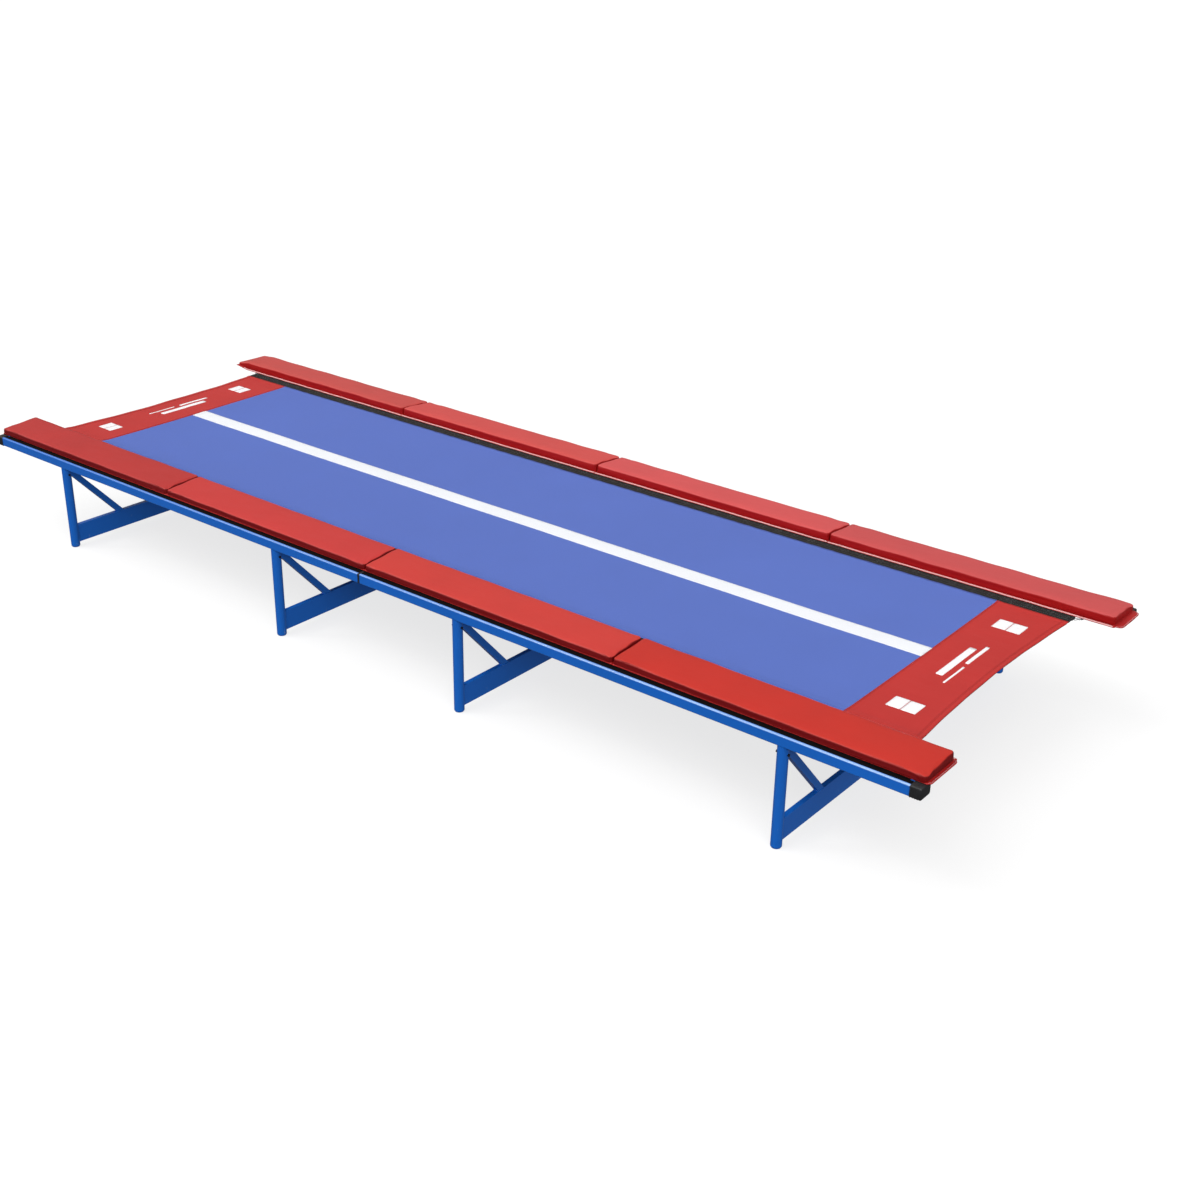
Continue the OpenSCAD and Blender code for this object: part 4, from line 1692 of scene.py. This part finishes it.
@dataclass
class SpringRow:
    """The coil springs of one long side, from the bed's rings to the holes in the rail."""

    side: Side
    wire: float = 0.0015
    coil: float = 0.0064
    turns: int = 35
    turn_steps: int = 8
    splay: float = 0.080
    hook: float = 0.013
    eye: float = 0.0042
    hook_out: float = 0.0285
    wall_past: float = 0.0045
    hole_drop: float = 0.014
    tail: float = 0.006

    def __post_init__(self) -> None:
        """Finds where the springs start in the rings and stop in the far rail, as (Y, Z)."""
        self.bed = JumpBed()
        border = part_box("far_border")[1]
        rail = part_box("far_right_rail")
        self.inner = rail[0].y
        self.start = (border.y + self.hook_out, border.z - self.bed.ring_drop)
        self.stop = (self.inner + self.wall_past, rail[1].z - self.hole_drop)

    def ends(self) -> tuple[Array, Array]:
        """Where each spring starts and stops; the corner ones follow their turned rings."""
        s = self.side.value
        start_x = self.bed.ring_places()
        stop_x = start_x.copy()
        stop_x[[0, -1]] += [-self.splay, self.splay]
        lean = math.radians(self.bed.corner_turn)
        out_x = self.bed.corner_shift[0] + self.hook_out * math.sin(lean)
        out_y = self.bed.corner_shift[1] + self.hook_out * math.cos(lean) - self.hook_out
        start = joined(start_x, s * self.start[0], self.start[1])
        start[[0, -1]] += [[-out_x, s * out_y, 0], [out_x, s * out_y, 0]]
        return start, joined(stop_x, s * self.stop[0], self.stop[1])

    def build(self) -> None:
        """Each spring is one wire: a hook round the ring, a helix, and a hook in the rail's wall.

        Along a spring's own axis a, with b to one side and c up, the helix is (a, R cos turn,
        R sin turn), and both hooks run down to the axis and end in half turns.
        """
        start, stop = self.ends()
        axis = unit(stop - start)
        length = np.linalg.norm(stop - start, axis=1)
        across = unit(np.cross(axis, UP))
        above = np.cross(across, axis)
        local, near = self.wire_line()
        a = local[:, 0] + near * (length - length[len(length) // 2])[:, None]
        outward = local[:, 1, None] * across[:, None] + local[:, 2, None] * above[:, None]
        path = start[:, None] + a[..., None] * axis[:, None] + outward
        outward = outward + 0.0004 * above[:, None] + 0.0002 * across[:, None]
        stock = Stock()
        stock.sweep(path, outward, circle(self.wire, 4))
        springs = stock.piece(f"{self.side.word}_coil_springs", [ZINC])
        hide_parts(f"{self.side.word}_springs")
        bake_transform(springs)

    def wire_line(self) -> tuple[Array, Array]:
        """One wire in its own axes, for a spring of the usual length.

        Returns:
            The points (a, b, c), and for each how much of any extra length lies before it, 0 to 1.
        """
        length = math.dist(self.start, self.stop)
        hook, coil, end = self.hook, self.coil, length - self.tail
        bend = np.linspace(math.pi * 0.15, math.pi * 1.5, 7)
        turn = np.arange(self.turns * self.turn_steps + 1) * TAU / self.turn_steps - math.pi / 2
        line = np.concatenate([
            joined(self.eye * np.cos(bend) - 0.0005, 0.0, self.eye * np.sin(bend)),
            [[hook * 0.45, 0, -coil * 0.2], [hook * 0.8, 0, -coil * 0.75]],
            joined(np.linspace(hook, end - hook, len(turn)), coil * np.cos(turn),
                   coil * np.sin(turn)),
            [[end - hook * 0.75, 0, -coil * 0.7], [end - hook * 0.3, 0, -coil * 0.15]],
            [[length - 0.004, 0, 0], [length + 0.001, 0, 0.0006], [length + 0.0026, 0, 0.0026]],
        ])
        return line, np.clip((line[:, 0] - hook) / (length - 2 * hook), 0, 1)


# -------------------------------------------------------------------------------------- the studio


@dataclass
class Studio:
    """The floor, the soft light from above, and the camera."""

    floor: float = 60.0
    floor_drop: float = 0.0006
    lens: float = 48.318
    eye: Triple = (5.2873, -5.9019, 3.7366)
    right: Triple = (0.78109, 0.62420, 0.01654)
    down: Triple = (0.27608, -0.32147, -0.90578)
    ahead: Triple = (-0.56007, 0.71206, -0.42343)
    sky: tuple[tuple[float, float], ...] = (
        (0.0, 0.10), (0.46, 0.16), (0.56, 0.26), (0.75, 0.44), (1.0, 0.66)
    )
    lamps: tuple[tuple[str, float, float, Triple], ...] = (
        ("studio_softbox", 1.50, 50.0, (-0.42, -0.40, 0.81)),
        ("studio_fill", 0.70, 40.0, (0.32, -0.52, 0.79)),
        ("studio_low_fill", 1.00, 28.0, (0.80, -0.50, 0.33)),
        ("studio_edge_light", 0.32, 9.0, (-0.56, -0.42, 0.71)),
    )

    def build(self) -> None:
        """Sets the floor, the lights and the camera."""
        self.ground()
        self.lights()
        self.camera()

    def ground(self) -> None:
        """A large pale floor, a shallow grid of quads under the whole view."""
        line = np.linspace(-self.floor, self.floor, 9)
        stock = Stock()
        stock.add(joined(*spread(line, line), -self.floor_drop), grid_quads(9, 9))
        made = stock.piece("studio_floor", [FLOOR])
        made.visible_diffuse = made.visible_glossy = False

    def lights(self) -> None:
        """A sky that lights from overhead and shows plain white, and broad lamps far away."""
        scene = bpy.context.scene
        world = bpy.data.worlds.new("studio_sky")
        world.use_nodes = True
        tree = world.node_tree
        split = tree.nodes.new("ShaderNodeSeparateXYZ")
        share = tree.nodes.new("ShaderNodeMapRange")
        share.inputs["From Min"].default_value = -1.0
        ramp = tree.nodes.new("ShaderNodeValToRGB")
        stops = ramp.color_ramp.elements
        for i, (place, value) in enumerate(self.sky):
            stop = stops[i] if i < 2 else stops.new(place)
            stop.position = place
            stop.color = (value, value, value, 1.0)
        facing = tree.nodes.new("ShaderNodeTexCoord").outputs["Generated"]
        tree.links.new(facing, split.inputs[0])
        tree.links.new(split.outputs[2], share.inputs["Value"])
        tree.links.new(share.outputs["Result"], ramp.inputs[0])
        shown = tree.nodes.new("ShaderNodeMix")
        shown.data_type = "RGBA"
        shown.inputs[7].default_value = (1.0, 1.0, 1.0, 1.0)
        seen = tree.nodes.new("ShaderNodeLightPath").outputs["Is Camera Ray"]
        tree.links.new(seen, shown.inputs[0])
        tree.links.new(ramp.outputs[0], shown.inputs[6])
        tree.links.new(shown.outputs[2], tree.nodes["Background"].inputs[0])
        scene.world = world
        for name, energy, width, source in self.lamps:
            lamp = bpy.data.lights.new(name, "SUN")
            lamp.energy, lamp.angle = energy, math.radians(width)
            made = bpy.data.objects.new(name, lamp)
            made.rotation_euler = Vector(source).to_track_quat("Z", "Y").to_euler()
            scene.collection.objects.link(made)
        scene.view_settings.view_transform = "Standard"

    def camera(self) -> None:
        """The camera, from its three axes."""
        lens = bpy.data.cameras.new("studio_camera")
        lens.lens, lens.sensor_width, lens.sensor_fit = self.lens, 36.0, "HORIZONTAL"
        lens.clip_start, lens.clip_end = 0.1, 300.0
        made = bpy.data.objects.new("studio_camera", lens)
        turn = np.eye(4)
        turn[:3, 0], turn[:3, 1] = self.right, -np.array(self.down)
        turn[:3, 2], turn[:3, 3] = -np.array(self.ahead), self.eye
        made.matrix_world = Matrix(turn.tolist())
        bpy.context.scene.collection.objects.link(made)
        bpy.context.scene.camera = made


@dataclass(frozen=True)
class StudioPaper(Finish):
    """Seamless white paper with a barely uneven tone."""

    glow: float = 0.755

    def build(self) -> bpy.types.Material:
        """A low reflection over a pale glow, so that the softest shadow stays light grey."""
        r = Recipe(self.name)
        return r.dress(
            Base_Color=r.mixed(r.noise(0.3), self.shade(0.99), self.colour),
            Roughness=1.0,
            Specular_IOR_Level=0.0,
            Emission_Color=(1.0, 1.0, 1.0),
            Emission_Strength=self.glow,
        )


FLOOR = StudioPaper("studio_paper", "", (0.255, 0.255, 0.255))


def main() -> None:
    """Builds the studio, the steel, the pads, the bed and the springs."""
    logging.basicConfig(level=logging.INFO, format="%(name)s: %(message)s")
    Studio().build()
    SteelFrame().build()
    FramePads().build()
    JumpBed().build()
    for side in Side:
        SpringRow(side).build()


if __name__ == "__main__":
    main()
